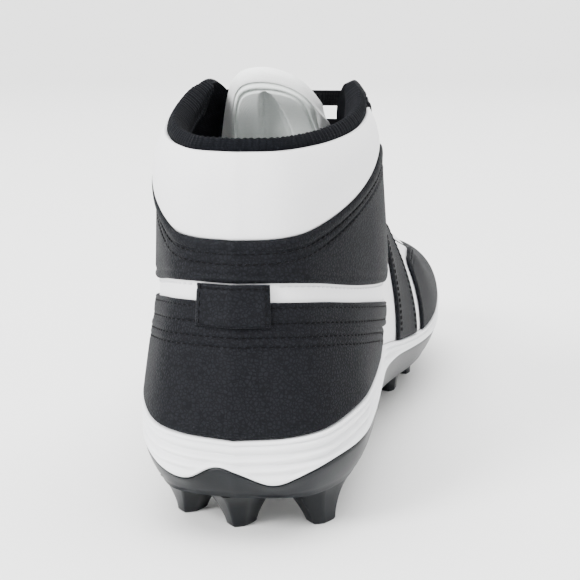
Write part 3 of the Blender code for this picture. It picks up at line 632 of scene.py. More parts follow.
def swell(q, share):
    """Padding behind the leather, by the place round the shoe and the share of the rib's height."""
    values = curve(SWELL, share)
    slopes = np.gradient(values, SWELL_WAYS, axis=-1)
    at = np.clip(np.abs(q), SWELL_WAYS[0], SWELL_WAYS[-1])
    i = np.clip(np.searchsorted(SWELL_WAYS, at) - 1, 0, len(SWELL_WAYS) - 2)
    step = SWELL_WAYS[i + 1] - SWELL_WAYS[i]
    t = (at - SWELL_WAYS[i]) / step

    def take(table, place):
        return np.take_along_axis(table, place[..., None], axis=-1)[..., 0]

    start, slope = take(values, i), take(slopes, i)
    return PAD_THICK * smooth_run(t, step, start, slope, take(values, i + 1), take(slopes, i + 1))


def plain_upper(q, w):
    """Points of the upper. w runs from 0 at the sole to 1 at the top line."""
    q = (q + 1.0) % 2.0 - 1.0
    foot, top = foot_line(q), top_line(q)
    power = 2.0 / curve(TOP_LINE, np.abs(q))[..., 4]
    rise = np.sin(np.clip(w, 0, 1) * math.pi / 2) ** power
    over = ease((np.abs(q) - UPRIGHT_END) / (ROUND_FROM - UPRIGHT_END))
    lean = over * (1 - np.cos(np.clip(w, 0, 1) * math.pi / 2) ** power) + (1 - over) * rise**LEAN_POWER
    along = 1 - (1 - lean) ** (1 + ease((np.abs(q) - 0.55) / 0.2))
    point = foot + (top - foot) * np.stack([lean, along, rise], axis=-1)
    point[..., :2] -= inward(q) * swell(q, rise)[..., None]
    return point


def side_normal(q, w):
    over = plain_upper(q, np.minimum(w + 0.02, 1.0)) - plain_upper(q, np.maximum(w - 0.02, 0.0))
    edge = np.minimum(w, 0.999)
    return unit(np.cross(plain_upper(q + 0.006, edge) - plain_upper(q - 0.006, edge), over))


def upper_normal(q, w):
    """The way out of the leather. Along the vamp and at its tip both sides share one at the top line."""
    q, w = np.broadcast_arrays(np.asarray(q, float), np.asarray(w, float))
    q = (q + 1.0) % 2.0 - 1.0
    near_top = ease((w - 0.85) / 0.15)
    at_tip = ease((np.abs(q) - 1) / VAMP_TIP + 1)
    shared = np.maximum(ease((np.abs(q) - THROAT_END) / 0.01) * near_top, at_tip)
    held = np.sign(q) * np.minimum(np.abs(q), 1 - VAMP_TIP * near_top)
    return unit(side_normal(held, w) + side_normal(-held, w) * shared[..., None])


def creased(q, w):
    q = (q + 1.0) % 2.0 - 1.0
    depth = np.zeros(q.shape)
    for at, height, half, tall, slant, deep in CREASES:
        away = (q - at) / half
        depth += deep * np.exp(-away**2 - ((w - height - slant * (q - at)) / tall) ** 2)
    return depth


def on_upper(q, w, out=0.0):
    """The leather's surface with its creases, moved out square to itself."""
    q, w = np.broadcast_arrays(np.asarray(q, float), np.asarray(w, float))
    out = np.asarray(out, float) + creased(q, w) * np.minimum(w * 8, 1.0) * np.minimum((1 - w) * 8, 1.0)
    return plain_upper(q, w) + upper_normal(q, w) * out[..., None]


def w_at_height(q, height):
    foot, top = foot_line(q)[..., 2], top_line(q)[..., 2]
    rise = np.clip((height - foot) / (top - foot), 0.0, 1.0)
    return 2 / math.pi * np.arcsin(rise ** (curve(TOP_LINE, np.abs(q))[..., 4] / 2.0))


def slab(name, outer, inner, finishes, loop=False, wall_finish=0, walled=lambda i, j: True):
    """A closed sheet between two grids of points, with its flat size as its own coordinates.

    walled says where its long edges are closed: not where the two ends of a rib meet.
    """
    columns, rows = outer.shape[:2]
    count = columns * rows
    steps_up = np.linalg.norm(np.diff(outer, axis=1), axis=2)
    up = np.concatenate([np.zeros((columns, 1)), np.cumsum(steps_up, axis=1)], axis=1)
    steps_along = np.linalg.norm(np.diff(outer[:, rows // 2], axis=0), axis=1)
    along = np.concatenate([[0.0], np.cumsum(steps_along)])
    fit = np.stack([np.broadcast_to(along[:, None], up.shape), up], axis=-1).reshape(-1, 2)
    front = grid_faces(columns, rows, 0, loop)
    back = [tuple(reversed(face)) for face in grid_faces(columns, rows, count, loop)]
    sides = []
    for j in (0, rows - 1):
        for i in range(columns if loop else columns - 1):
            a, b = i * rows + j, (i + 1) % columns * rows + j
            if walled(i, j):
                sides.append((a, b, count + b, count + a))
    for i in () if loop else (0, columns - 1):
        for j in range(rows - 1):
            a = i * rows + j
            sides.append((a, a + 1, count + a + 1, count + a))
    face_finish = [0] * len(front) + [len(finishes) - 1] * len(back) + [wall_finish] * len(sides)
    return closed_mesh(name, np.concatenate([outer.reshape(-1, 3), inner.reshape(-1, 3)]),
                       front + back + sides, finishes, face_finish, np.concatenate([fit, fit]))


def leather_finish(name, tones, grain, depth, roughness, folds, gloss=0.35):
    """Coated leather: pebbles parted by fine furrows, finer pores and broad soft folds."""
    made, tree, shader = shader_of(name, tones[1], roughness, gloss)
    place = wire(tree, "ShaderNodeTexCoord").outputs["Object"]
    warp = wire(tree, "ShaderNodeTexNoise", [("Vector", place)], Scale=260.0, Detail=2.0)
    bent = wire(tree, "ShaderNodeVectorMath", [(0, warp.outputs["Color"])])
    bent.operation = "SCALE"
    bent.inputs["Scale"].default_value = grain * 0.7
    moved = wire(tree, "ShaderNodeVectorMath", [(0, place), (1, bent.outputs[0])])
    moved.operation = "ADD"
    pebbles = wire(tree, "ShaderNodeTexVoronoi", [("Vector", moved.outputs[0])], Scale=1.0 / grain)
    pebbles.feature = "DISTANCE_TO_EDGE"
    tops = wire(tree, "ShaderNodeMapRange", [("Value", pebbles.outputs["Distance"])], From_Max=0.30)
    tops.interpolation_type = "SMOOTHSTEP"
    pores = noise(tree, 2.2 / grain, 3.0)
    mottled(tree, shader, tops.outputs[0], tones, 0.0, 0.8)
    first = relief(tree, shader, noise(tree, 34.0), folds, 1.0)
    second = relief(tree, shader, pores, depth * 0.5, 0.7, first)
    relief(tree, shader, tops.outputs[0], depth, 0.8, second)
    matt = wire(tree, "ShaderNodeMapRange", [("Value", pores)],
                To_Min=roughness - 0.07, To_Max=roughness + 0.10)
    tree.links.new(matt.outputs[0], shader.inputs["Roughness"])
    return made


white_leather = leather_finish("white leather", LEATHER_WHITE, 0.0011, 0.00003, 0.50, 0.00012)
black_knit = knit_finish("black knit", KNIT_BLACK, 0.0011, 0.00012, 0.01)
round_shoe = np.linspace(-1, 1, UPPER_COLUMNS, endpoint=False)
shoe_q, shoe_w = np.meshgrid(round_shoe, np.linspace(0, 1, UPPER_ROWS), indexing="ij")
upper = slab("upper_leather", on_upper(shoe_q, shoe_w), on_upper(shoe_q, shoe_w, -WALL),
             [white_leather, black_knit], loop=True, wall_finish=1,
             walled=lambda i, j: j == 0 or abs(round_shoe[i] + 1 / UPPER_COLUMNS) < THROAT_END)
last_row = shoe_w >= 1 - 1 / (UPPER_ROWS - 1) - 1e-6
dyed = ((np.abs(shoe_q) > DYED_FROM) & (np.abs(shoe_q) < THROAT_END) & last_row).ravel()
for face in upper.data.polygons:
    corners = list(face.vertices)
    if max(corners) < dyed.size and dyed[corners].all():
        face.material_index = 1
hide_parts("upper")

# Overlays. Black pebbled leather, skived and turned at its edges and sewn down over the upper with
# black thread: the arms and eyestays at the middle, the toe's overlay, and the heel counter.
LAY = 0.0005
OVERLAY = 0.0013
BAND_THICK = 0.0010
LEATHER_BLACK = (0.0042, 0.0045, 0.0056), (0.0084, 0.0090, 0.0110)
BAND_WIDTH = 0.0075
BAND_TUCK = 0.0014  # how far the band runs on under the counter
TAB_WIDTH = 0.0245
TAB_RISE = 0.0496
COUNTER_RISE = 0.0359
COUNTER_END, PANEL_END, BAND_END = 0.283, 0.305, 0.350
EYESTAY_START, EYESTAY_END = 0.335, 0.700
ARM_START, ARM_END = 0.455, 0.548
TOE_START = 0.5773
SEAM_WIDTH = 0.0007  # furrow that a row of stitches draws into the leather
SEAM_DEPTH = 0.00035
SUNK_LIFT = LAY + OVERLAY - SEAM_DEPTH
# Furrows of the panels: metres down from the top edge, and negative ones up from the bottom edge.
COUNTER_SEAMS = 0.0029, 0.0058
EYESTAY_SEAMS = 0.0025, -0.0022, -0.0044
TOE_SEAMS = 0.0022, 0.0044
# Rows of stitches: in from each side of an arm in q, above an eyestay's lower edge in w, and as
# shares of the toe's height.
ARM_ROWS = 0.0065, 0.0125
EYESTAY_ROWS = 0.035, 0.075
TOE_ROWS = 0.965, 0.925
# Where these rows start and end, in w on the arms and in q on the others.
COUNTER_STITCHED = -0.262, 0.262
ARM_STITCHED = 0.03, 0.645
EYESTAY_STITCHED = 0.37, 0.69
TOE_STITCHED = TOE_START + 0.012, 2.0 - TOE_START - 0.012
SEAM_SETS = (-1.8, -1.1, -0.6, -0.3, 0.0, 0.3, 0.6, 1.1, 1.8)
# Edges of the panels: way, and height as a share of the rise that each is named for.
BAND_LINE = (
    (0.00, 1.000),
    (0.05, 0.990),
    (0.10, 0.945),
    (0.15, 0.870),
    (0.20, 0.785),
    (0.25, 0.690),
    (0.30, 0.590),
    (0.40, 0.380),
)
COUNTER_CORNER = ((0.00, 1.00), (0.22, 1.00), (0.24, 0.99), (0.262, 0.92), (0.275, 0.76), (0.283, 0.48))
ANKLE_EDGE = (
    (0.00, 1.000),
    (0.05, 0.993),
    (0.10, 0.958),
    (0.15, 0.900),
    (0.20, 0.840),
    (0.25, 0.788),
    (0.285, 0.765),
    (0.305, 0.800),
)
COLLAR_EDGE = (
    (0.00, 0.700),
    (0.04, 0.703),
    (0.08, 0.717),
    (0.12, 0.750),
    (0.17, 0.805),
    (0.22, 0.870),
    (0.27, 0.925),
    (0.31, 0.955),
)
EYESTAY_EDGE = (
    (0.335, 0.820),
    (0.360, 0.720),
    (0.400, 0.667),
    (0.550, 0.667),
    (0.700, 0.667),
)
TOE_EDGE = (
    (0.560, 0.020),
    (0.575, 0.300),
    (0.600, 0.420),
    (0.640, 0.500),
    (0.700, 0.500),
    (1.000, 0.500),
)


def way_of(q):
    return np.abs((np.asarray(q, float) + 1.0) % 2.0 - 1.0)


def risen(rows, rise):
    """A panel's edge, as the w at which each rib crosses it. away is in metres up the shoe."""
    return lambda q, away=0.0: w_at_height(q, over_studs(1.0) + curve(rows, way_of(q))[..., 0] * rise + away)


def spaced(length, edge, step, inner_rows=()):
    """Distances from 0 to length: close together at both ends and round the inner rows."""
    ends = edge * np.array([0.0, 0.12, 0.35, 0.70, 1.10, 1.7])
    rows = [d + SEAM_WIDTH * k for d in inner_rows for k in SEAM_SETS]
    even = np.linspace(ends[-1], length - ends[-1], max(int(length / step), 2))
    inside = [row for row in rows if 0 < row < length]
    return np.unique(np.round(np.concatenate([ends, length - ends, even, inside]), 7))


def panel(name, first, last, low, high, lift, thick, finish, seams=(), step=0.0020, turned=1.0):
    """A piece of leather over the upper between two places and two edges, with turned edges.

    seams are distances down from the top edge, and negative ones up from the bottom edge.
    """
    places = first + spaced((last - first) * SIDE_LENGTH, thick * turned, step) / SIDE_LENGTH
    bottom, top = low(places), high(places)
    tall = np.linalg.norm(plain_upper(places, top) - plain_upper(places, bottom), axis=-1)
    typical = float(np.median(tall))
    seam_rows = [typical - seam if seam > 0 else -seam for seam in seams]
    rows = spaced(typical, thick * turned, step, seam_rows)
    shares = np.where(rows[None] < typical / 2, rows[None] / tall[:, None],
                      1 - (typical - rows[None]) / tall[:, None])
    shares = np.maximum.accumulate(np.clip(shares, 0, 1), axis=1)
    q = np.broadcast_to(places[:, None], shares.shape)
    w = bottom[:, None] + (top - bottom)[:, None] * shares
    from_ends = np.minimum(places - first, last - places) * SIDE_LENGTH
    down, up = tall[:, None] * (1 - shares), tall[:, None] * shares
    near = np.minimum(np.minimum(down, up), from_ends[:, None]) / (thick * turned)
    rounded = np.sqrt(np.clip(1 - (1 - np.clip(near, 0, 1)) ** 2, 0, 1))
    sunk = np.zeros(q.shape)
    for seam in seams:
        sunk += np.exp(-(((down if seam > 0 else up) - abs(seam)) / SEAM_WIDTH) ** 2)
    outer = on_upper(q, w, lift + thick * (0.12 + 0.88 * rounded) - SEAM_DEPTH * sunk)
    piece = slab(name, outer, on_upper(q, w, lift), [finish])
    return piece


def row_points(q, w, lift):
    """Points along a row of stitches, with the way out of the leather at each."""
    return on_upper(q, w, lift), upper_normal(q, w)


def edge_points(edge, first, last, lift, down, step=0.0012):
    """Points along a panel's edge at a distance down from it."""
    places = np.linspace(first, last, max(int((last - first) * SIDE_LENGTH / step), 4))
    return row_points(places, edge(places, -down), lift)


stitch_lines = {"black": [], "white": []}
black_leather = leather_finish("black leather", LEATHER_BLACK, 0.0012, 0.00012, 0.58, 0.0004, 0.045)
band_edge = risen(BAND_LINE, COUNTER_RISE)
ankle_edge = risen(ANKLE_EDGE, TAB_RISE)
collar_edge = risen(COLLAR_EDGE, COLLAR_RISE)


def counter_top(q, away=0.0):
    return band_edge(q, away) * np.minimum(curve(COUNTER_CORNER, way_of(q))[..., 0], 1.0)


def level(share):
    return lambda q: np.full(np.shape(q), float(share))


def eyestay_low(q):
    return curve(EYESTAY_EDGE, way_of(q))[..., 0]


def toe_top(q):
    return curve(TOE_EDGE, way_of(q))[..., 0]


counter = panel("counter_leather", -COUNTER_END, COUNTER_END, level(0.0), counter_top, LAY, OVERLAY,
                black_leather, seams=COUNTER_SEAMS)
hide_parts("heel_counter")
for down in COUNTER_SEAMS:
    stitch_lines["black"].append(edge_points(counter_top, *COUNTER_STITCHED, SUNK_LIFT, down))

for side, name in ((LATERAL, "lateral"), (MEDIAL, "medial")):
    ends = sorted((side * EYESTAY_START, side * EYESTAY_END))
    eyestay = panel(f"eyestay_leather_{name}", *ends, eyestay_low, level(1.0), LAY, OVERLAY, black_leather,
                    seams=EYESTAY_SEAMS)
    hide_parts(f"eyestay_{name}")
    ends = sorted((side * ARM_START, side * ARM_END))
    arm = panel(f"arm_leather_{name}", *ends, level(0.0), lambda q: eyestay_low(q) - 0.008, LAY, OVERLAY,
                black_leather)
    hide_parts(f"arm_{name}")
    rib = np.linspace(*ARM_STITCHED, 60)
    for inset in ARM_ROWS:
        for at in (ARM_START + inset, ARM_END - inset):
            stitch_lines["black"].append(row_points(side * at, rib, LAY + OVERLAY))
    run = np.linspace(*sorted(side * end for end in EYESTAY_STITCHED), 140)
    for up in EYESTAY_ROWS:
        stitch_lines["black"].append(row_points(run, eyestay_low(run) + up, SUNK_LIFT))

toe = panel("toe_leather", TOE_START, 2.0 - TOE_START, level(0.0), toe_top, LAY, OVERLAY, black_leather,
            seams=TOE_SEAMS)
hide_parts("toe_overlay")
run = np.linspace(*TOE_STITCHED, 260)
for share in TOE_ROWS:
    stitch_lines["black"].append(row_points(run, toe_top(run) * share, SUNK_LIFT))

# Ankle panel, band and tab. The same black leather round the back of the ankle, with its top edge
# turned over into a raised hem. A narrow plain band runs round the heel below a strip of the white
# upper, and a short tab is sewn over the band at the back.
HEM_WIDTH = 0.0030
HEM_RAISE = 0.0006
HEM_LAP = 0.0004  # how far it laps over the edge of the panel
HEM_SEAMS = HEM_WIDTH + 0.0009, HEM_WIDTH + 0.0040
HEM_STITCHED = -0.297, 0.297
ANKLE_SEAM = 0.0024
ankle = panel("ankle_leather", -PANEL_END, PANEL_END, ankle_edge, lambda q: collar_edge(q, -GAP),
              LAY, OVERLAY, black_leather, seams=(*HEM_SEAMS, -ANKLE_SEAM))
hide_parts("ankle_panel")
hem_q, hem_row = np.meshgrid(np.linspace(-PANEL_END, PANEL_END, 320), np.linspace(0, 1, 13), indexing="ij")
hem_low, hem_top = collar_edge(hem_q, -HEM_WIDTH), collar_edge(hem_q, HEM_LAP)
hem_w = hem_low + (hem_top - hem_low) * hem_row
hem_bulge = LAY + OVERLAY - 0.0002 + HEM_RAISE * np.sin(hem_row * math.pi) ** 0.6
hem = slab("ankle_hem", on_upper(hem_q, hem_w, hem_bulge),
           on_upper(hem_q, hem_w, LAY + OVERLAY - HEM_RAISE), [black_leather])
for down in HEM_SEAMS:
    line = edge_points(collar_edge, *HEM_STITCHED, LAY + OVERLAY - SEAM_DEPTH / 2, down)
    stitch_lines["black"].append(line)

BAND_SEAM = 0.0014
BAND_STITCHED = (-0.345, -0.038), (0.038, 0.345)
band = panel("band_leather", -BAND_END, BAND_END, lambda q: band_edge(q, -BAND_TUCK),
             lambda q: band_edge(q, GAP + BAND_WIDTH), LAY, BAND_THICK, black_leather,
             seams=(BAND_SEAM, -BAND_TUCK - BAND_SEAM), step=0.0009)
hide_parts("heel_band")
for up in (BAND_SEAM, BAND_WIDTH - BAND_SEAM):
    for ends in BAND_STITCHED:
        stitch_lines["black"].append(edge_points(band_edge, *ends, LAY + BAND_THICK - SEAM_DEPTH, -up))

TAB_LIFT = LAY + BAND_THICK + LAY
TAB_SEAM = 0.0016
WHITE_ROWS = 0.00108, 0.00945  # on the white upper, below the ankle panel
WHITE_STITCHED = (0.05, 0.30), (-0.30, -0.05)
tab_half = TAB_WIDTH / 2 / SIDE_LENGTH
tab = panel("tab_leather", -tab_half, tab_half, lambda q: band_edge(q, GAP), lambda q: ankle_edge(q, -GAP),
            TAB_LIFT, OVERLAY, black_leather, seams=(TAB_SEAM,), step=0.0009)
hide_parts("heel_tab")
row_end = tab_half * 0.86
line = edge_points(ankle_edge, -row_end, row_end, TAB_LIFT + OVERLAY - SEAM_DEPTH, TAB_SEAM)
stitch_lines["black"].append(line)
at_back = np.array([0.0])
rib = np.linspace(band_edge(at_back, BAND_SEAM)[0], ankle_edge(at_back, -TAB_SEAM)[0], 24)
for at in (-row_end, row_end):
    stitch_lines["black"].append(row_points(at, rib, TAB_LIFT + OVERLAY))
for down in WHITE_ROWS:
    for ends in WHITE_STITCHED:
        stitch_lines["white"].append(edge_points(ankle_edge, *ends, 0.0001, down))

# Collar panel. Soft smooth white leather over the padding of the collar. It swells between the hem
# of the ankle panel and the rim, and a fine seam turns it in at the rim.
COLLAR_SEAM = 0.0022
collar = panel("collar_leather", -PANEL_END, PANEL_END, lambda q: collar_edge(q, GAP), level(1.0),
               LAY, BAND_THICK, white_leather, seams=(COLLAR_SEAM,), turned=1.3)
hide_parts("collar_panel")

# Collar lining. Black ribbed knit over soft foam, rolled over the rim and gathered into small
# pleats that run across the roll, then turned down inside the collar.
ROLL_HEIGHT = 0.0042
LINING_END = 0.385
PAD_SECTION = ((0.00, 0.85), (0.06, 1.00), (0.16, 0.90), (0.30, 0.35))
PLEAT_PITCH = 0.0021
PLEAT_DEPTH = 0.00014
LINING_ROUND = 0.0045
LINING_COLUMNS = 640
LINING_POINTS = 48

lining_q = np.linspace(-LINING_END, LINING_END, LINING_COLUMNS)
to_end = (LINING_END - np.abs(lining_q)) * SIDE_LENGTH
taper = 0.45 + 0.55 * ease((LINING_END - np.abs(lining_q)) / 0.08)
taper *= 0.15 + 0.85 * np.sqrt(np.clip(1 - (1 - np.minimum(to_end / LINING_ROUND, 1)) ** 2, 0, 1))


def behind(share, depth):
    """Points behind the leather of the collar, a share of its height below the rim."""
    return plain_upper(lining_q, 1 - share) - upper_normal(lining_q, 1 - share) * depth[:, None]


back = np.full(LINING_COLUMNS, WALL + GAP)
front = [behind(share, back) for share, _ in reversed(PAD_SECTION)]
inner = [behind(share, back + pad * PAD_THICK * taper) for share, pad in PAD_SECTION]
lip = plain_upper(lining_q, np.ones(LINING_COLUMNS))
rise = np.stack([0 * taper, 0 * taper, ROLL_HEIGHT * taper], axis=-1)
out = as_ring(-inward(lining_q), 0 * taper)
roll = [lip + rise * 0.15 + out * GAP, lip + rise * 0.75 - out * 0.0008,
        lip + rise - out * PAD_THICK * 0.45 * taper[:, None], inner[0] + rise * 0.75]
loops = np.stack(front + roll + inner, axis=0)
section = np.stack([round_line(loops[:, i], LINING_POINTS) for i in range(LINING_COLUMNS)])
away = unit(section - section.mean(axis=1, keepdims=True))
run = np.concatenate([[0.0], np.cumsum(np.linalg.norm(np.diff(lip, axis=0), axis=1))])
pleat = np.sin(run / PLEAT_PITCH * 2 * math.pi)[:, None] + 0.4 * np.sin(run / PLEAT_PITCH * 3.3)[:, None]
shown = ease((np.arange(LINING_POINTS) / LINING_POINTS - 0.30) / 0.15)[None]
section = section + away * (pleat * shown * PLEAT_DEPTH)[..., None]
up_lining = np.concatenate([np.zeros((LINING_COLUMNS, 1)),
                            np.cumsum(np.linalg.norm(np.diff(section, axis=1), axis=2), axis=1)], axis=1)
lining_fit = np.stack([np.broadcast_to(run[:, None], up_lining.shape), up_lining], axis=-1).reshape(-1, 2)
lining_faces = grid_faces(LINING_COLUMNS, LINING_POINTS)
for i in range(LINING_COLUMNS - 1):
    a, b = i * LINING_POINTS, (i + 1) * LINING_POINTS
    lining_faces.append((a + LINING_POINTS - 1, b + LINING_POINTS - 1, b, a))
last_column = (LINING_COLUMNS - 1) * LINING_POINTS
lining_faces.append(tuple(range(LINING_POINTS)))
lining_faces.append(tuple(range(last_column + LINING_POINTS - 1, last_column - 1, -1)))
lining = closed_mesh("collar_knit", section.reshape(-1, 3), lining_faces, [black_knit], None, lining_fit)
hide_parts("collar_lining")

# Tongue. Foam between a white leather face and a pale brushed lining, turned at the rim into a
# leather binding. Two slanting seams draw the lining in towards the middle. It stands up free past
# the top eyelets and has slipped a little to the lateral side.
TONGUE_WIDTH = 0.046
TONGUE_THICK = 0.0055
TONGUE_RISE = 0.0130
TONGUE_DRIFT = 0.0060
# How far its medial edge reaches under the eyestay, and from which share on it draws back from it.
TONGUE_TUCK, TONGUE_BARE = 0.0200, 0.42
TONGUE_ROWS = (
    (0.00, 0.56, 0.45),
    (0.15, 0.67, 0.55),
    (0.45, 0.88, 0.70),
    (0.65, 1.00, 0.85),
    (0.78, 0.95, 0.95),
    (0.90, 0.89, 1.00),
    (1.00, 0.86, 0.80),
)
TONGUE_FROM, TONGUE_LAST_EYELET = 0.76, 0.43
TONGUE_FREE = 0.22
TONGUE_LEAN = np.array([-0.10, -0.58, 0.80])
ARCH_FROM, ARCH_DROP, ARCH_ROUND = 0.50, 0.36, 0.92
TONGUE_COLUMNS, TONGUE_ACROSS = 150, 81
TONGUE_BINDING, TONGUE_PIPING = 0.0036, 0.0062
TONGUE_GROOVE, TONGUE_HOLLOW, TONGUE_PUFF = 0.0014, 0.0030, 0.0008
GROOVE_HALF, SEAM_HALF, HOLLOW_REACH = 0.00045, 0.0006, 0.0040
TONGUE_WHITE = (0.76, 0.77, 0.765), (0.81, 0.82, 0.815)
LINING_PALE = (0.84, 0.89, 0.87), (0.91, 0.94, 0.92)
# Where the two seams meet under the rim, how far down they run, and how far apart they end, as shares.
SEAM_APEX, SEAM_FOOT = (0.02, 0.89), 0.55
TONGUE_SEAMS = (-0.40, 0.42)


def tongue_face(t, c):
    """Outer face of the tongue. t runs up it, c from -1 on the lateral edge to 1 on the medial."""
    bend = ease((t - ARCH_FROM) / (1 - ARCH_FROM)) * (1 - np.sqrt(1 - ARCH_ROUND * c**2))
    up = t * (1 - ARCH_DROP * bend)
    q = TONGUE_FROM + (TONGUE_LAST_EYELET - TONGUE_FROM) * np.minimum(up / (1 - TONGUE_FREE), 1.0)
    depth = WALL + LAY + GAP
    one = np.ones(t.shape)

    def edge_of(side, w):
        return plain_upper(side * q, w) - upper_normal(side * q, w) * depth

    left, right = edge_of(-1, one), edge_of(1, one)
    edge = np.linalg.norm(right - left, axis=-1) / 2
    x = c * curve(TONGUE_ROWS, t)[..., 0] * TONGUE_WIDTH / 2 - TONGUE_DRIFT * ease(t)
    x = np.minimum(x, edge - GAP + TONGUE_TUCK * (1 - ease((t - TONGUE_BARE) / 0.25)))
    across = np.clip(x / np.maximum(edge, 1e-9), -1, 1)[..., None]
    point = (left + right) / 2 + (right - left) / 2 * across
    for side in (-1, 1):
        rib = np.linalg.norm(plain_upper(side * q, one) - plain_upper(side * q, one * 0.9), axis=-1) / 0.1
        beyond = edge_of(side, np.clip(1 - (np.abs(x) - edge) / rib, 0, 1))
        point = np.where(((np.abs(x) > edge) & (x * side > 0))[..., None], beyond, point)
    free = np.maximum(up - (1 - TONGUE_FREE), 0.0) / TONGUE_FREE * TONGUE_RISE
    return point + TONGUE_LEAN * free[..., None]


tongue_up = np.linspace(0, 1, TONGUE_COLUMNS) ** 0.9
tongue_over = np.sin(np.linspace(-1, 1, TONGUE_ACROSS) * 1.2) / math.sin(1.2)
tongue_t, tongue_c = np.meshgrid(tongue_up, tongue_over, indexing="ij")
face = tongue_face(tongue_t, tongue_c)
for turn in range(160):
    face[:, 1:-1] = (face[:, :-2] + 2 * face[:, 1:-1] + face[:, 2:]) / 4
    if turn % 20 == 0:
        face[1:-1] = (face[:-2] + 2 * face[1:-1] + face[2:]) / 4
up_tongue, across_tongue = np.gradient(face, axis=(0, 1))
back_way = unit(np.cross(across_tongue, up_tongue))
for _ in range(40):
    padded = np.pad(back_way, ((1, 1), (1, 1), (0, 0)), "edge")
    back_way = (padded[:-2, 1:-1] + padded[2:, 1:-1] + padded[1:-1, :-2] + padded[1:-1, 2:]) / 4
back_way = unit(back_way)
from_side = (1 - np.abs(tongue_c)) * TONGUE_WIDTH / 2 + 1e-5
from_end = (1 - tongue_t) * TONGUE_RISE / TONGUE_FREE + 1e-5
from_rim = (from_side**-3 + from_end**-3) ** (-1 / 3)
round_edge = np.sqrt(np.clip(1 - (1 - np.minimum(from_rim / TONGUE_BINDING, 1)) ** 2, 0, 1))
thick = curve(TONGUE_ROWS, tongue_t)[..., 1] * TONGUE_THICK * (0.22 + 0.78 * round_edge)
groove = sum(np.exp(-((from_rim - line) / GROOVE_HALF) ** 2) for line in (TONGUE_BINDING, TONGUE_PIPING))
hollow = np.ones(thick.shape)
for foot_c in TONGUE_SEAMS:
    share = (SEAM_APEX[1] - tongue_t) / (SEAM_APEX[1] - SEAM_FOOT)
    aside = (tongue_c - SEAM_APEX[0] - (foot_c - SEAM_APEX[0]) * share) * math.copysign(1, foot_c)
    shown = ease(share / 0.08)
    groove += np.exp(-(aside * TONGUE_WIDTH / 2 / SEAM_HALF) ** 2) * shown * (share > 0)
    hollow *= ease(0.5 - aside * TONGUE_WIDTH / 2 / HOLLOW_REACH) * shown
puff = TONGUE_PUFF * ease(from_rim / 0.006) * ease((tongue_t - 0.4) / 0.3)
drop = TONGUE_GROOVE * np.minimum(groove, 1.0) + TONGUE_HOLLOW * hollow
back_face = face + back_way * (thick + puff - drop)[..., None]
pale_knit = knit_finish("pale lining", LINING_PALE, 0.0009, 0.00008, 0.15)
tongue_leather = leather_finish("tongue leather", TONGUE_WHITE, 0.0009, 0.00004, 0.48, 0.0002)
tongue = slab("tongue_pad", face, back_face, [tongue_leather, pale_knit])
cells = grid_faces(TONGUE_COLUMNS, TONGUE_ACROSS)
bound = [k for k, cell in enumerate(cells) if from_rim.ravel()[list(cell)].mean() < TONGUE_BINDING]
lining_side = [face for face in tongue.data.polygons if face.material_index == 1]
for k in bound:
    lining_side[k].material_index = 0
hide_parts("tongue")

# Laces and eyelets. Seven straight bars of flat woven lace cross the throat from eyelet to eyelet.
# Each end goes down through a hole punched in the eyestay, with a pressed rim round it.
LACE_WIDTH = 0.0070
LACE_THICK = 0.0012
EYELET_ROWS = 7
LACE_FIRST, LACE_LAST = 0.450, 0.655
LACE_ENDS = 0.86
EYELET_RADIUS = 0.0023
EYELET_LIP = 0.0005
LACE_POINTS, LACE_ACROSS = 90, 11
LACE_CROWN, LACE_RIDGES, LACE_SINK = 0.0004, 0.00012, 0.0022
LACE_BLACK = (0.005, 0.005, 0.006), (0.010, 0.010, 0.012)


def lace_edge(q):
    """One edge of a bar: up the lateral eyestay, over the throat and down the medial one."""
    sides = []
    for side in (LATERAL, MEDIAL):
        w = np.linspace(LACE_ENDS, 1.0, 5)
        at = np.full(w.size, side * q)
        line = plain_upper(at, w) + upper_normal(at, w) * (LAY + OVERLAY + LAY)
        over = line[-1] - line[-2]
        line[-1] += over / np.linalg.norm(over) * LAY
        sides.append(line)
    lateral, medial = sides
    throat = lateral[-1] + (medial[-1] - lateral[-1]) * np.linspace(0, 1, 5)[1:-1, None]
    return np.concatenate([lateral, throat, medial[::-1]])


webbing = knit_finish("woven lace", LACE_BLACK, 0.0010, 0.00020, 0.05)
half_width = LACE_WIDTH / 2 / SIDE_LENGTH
eyelet_places, eyelet_ways_out = [], []
for row in range(EYELET_ROWS):
    q = LACE_FIRST + (LACE_LAST - LACE_FIRST) * row / (EYELET_ROWS - 1)
    low, high = (round_line(lace_edge(q + side * half_width), LACE_POINTS) for side in (-1, 1))
    along = np.gradient((low + high) / 2, axis=0)
    up = unit(np.cross(low - high, along))
    from_end = np.minimum(np.arange(LACE_POINTS), np.arange(LACE_POINTS)[::-1]) / LACE_POINTS
    sink = 1 - ease(from_end / 0.07)
    narrow = 1 - 0.42 * sink
    c = np.linspace(-1, 1, LACE_ACROSS)
    middle = ((low + high) / 2)[:, None]
    across = ((high - low) / 2)[:, None] * c[None, :, None] * narrow[:, None, None]
    ridges = LACE_CROWN * (1 - c**2) + LACE_RIDGES * np.sin(c * math.pi * 3)
    crown = ridges[None] - LACE_SINK * sink[:, None]
    edge = np.sqrt(np.clip(1 - np.abs(c) ** 5, 0.05, 1))[None]
    spine = middle + across
    outer = spine + up[:, None] * (crown + LACE_THICK * (0.5 + 0.5 * edge))[..., None]
    under = spine + up[:, None] * (crown + LACE_THICK * (0.5 - 0.5 * edge))[..., None]
    bar = slab(f"lace_{row + 1}", outer, under, [webbing])
    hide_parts(f"lace_bar_{row + 1}")
    for side in (LATERAL, MEDIAL):
        at = np.array([side * q]), np.array([LACE_ENDS])
        eyelet_places.append(on_upper(*at, LAY + OVERLAY)[0])
        eyelet_ways_out.append(upper_normal(*at)[0])


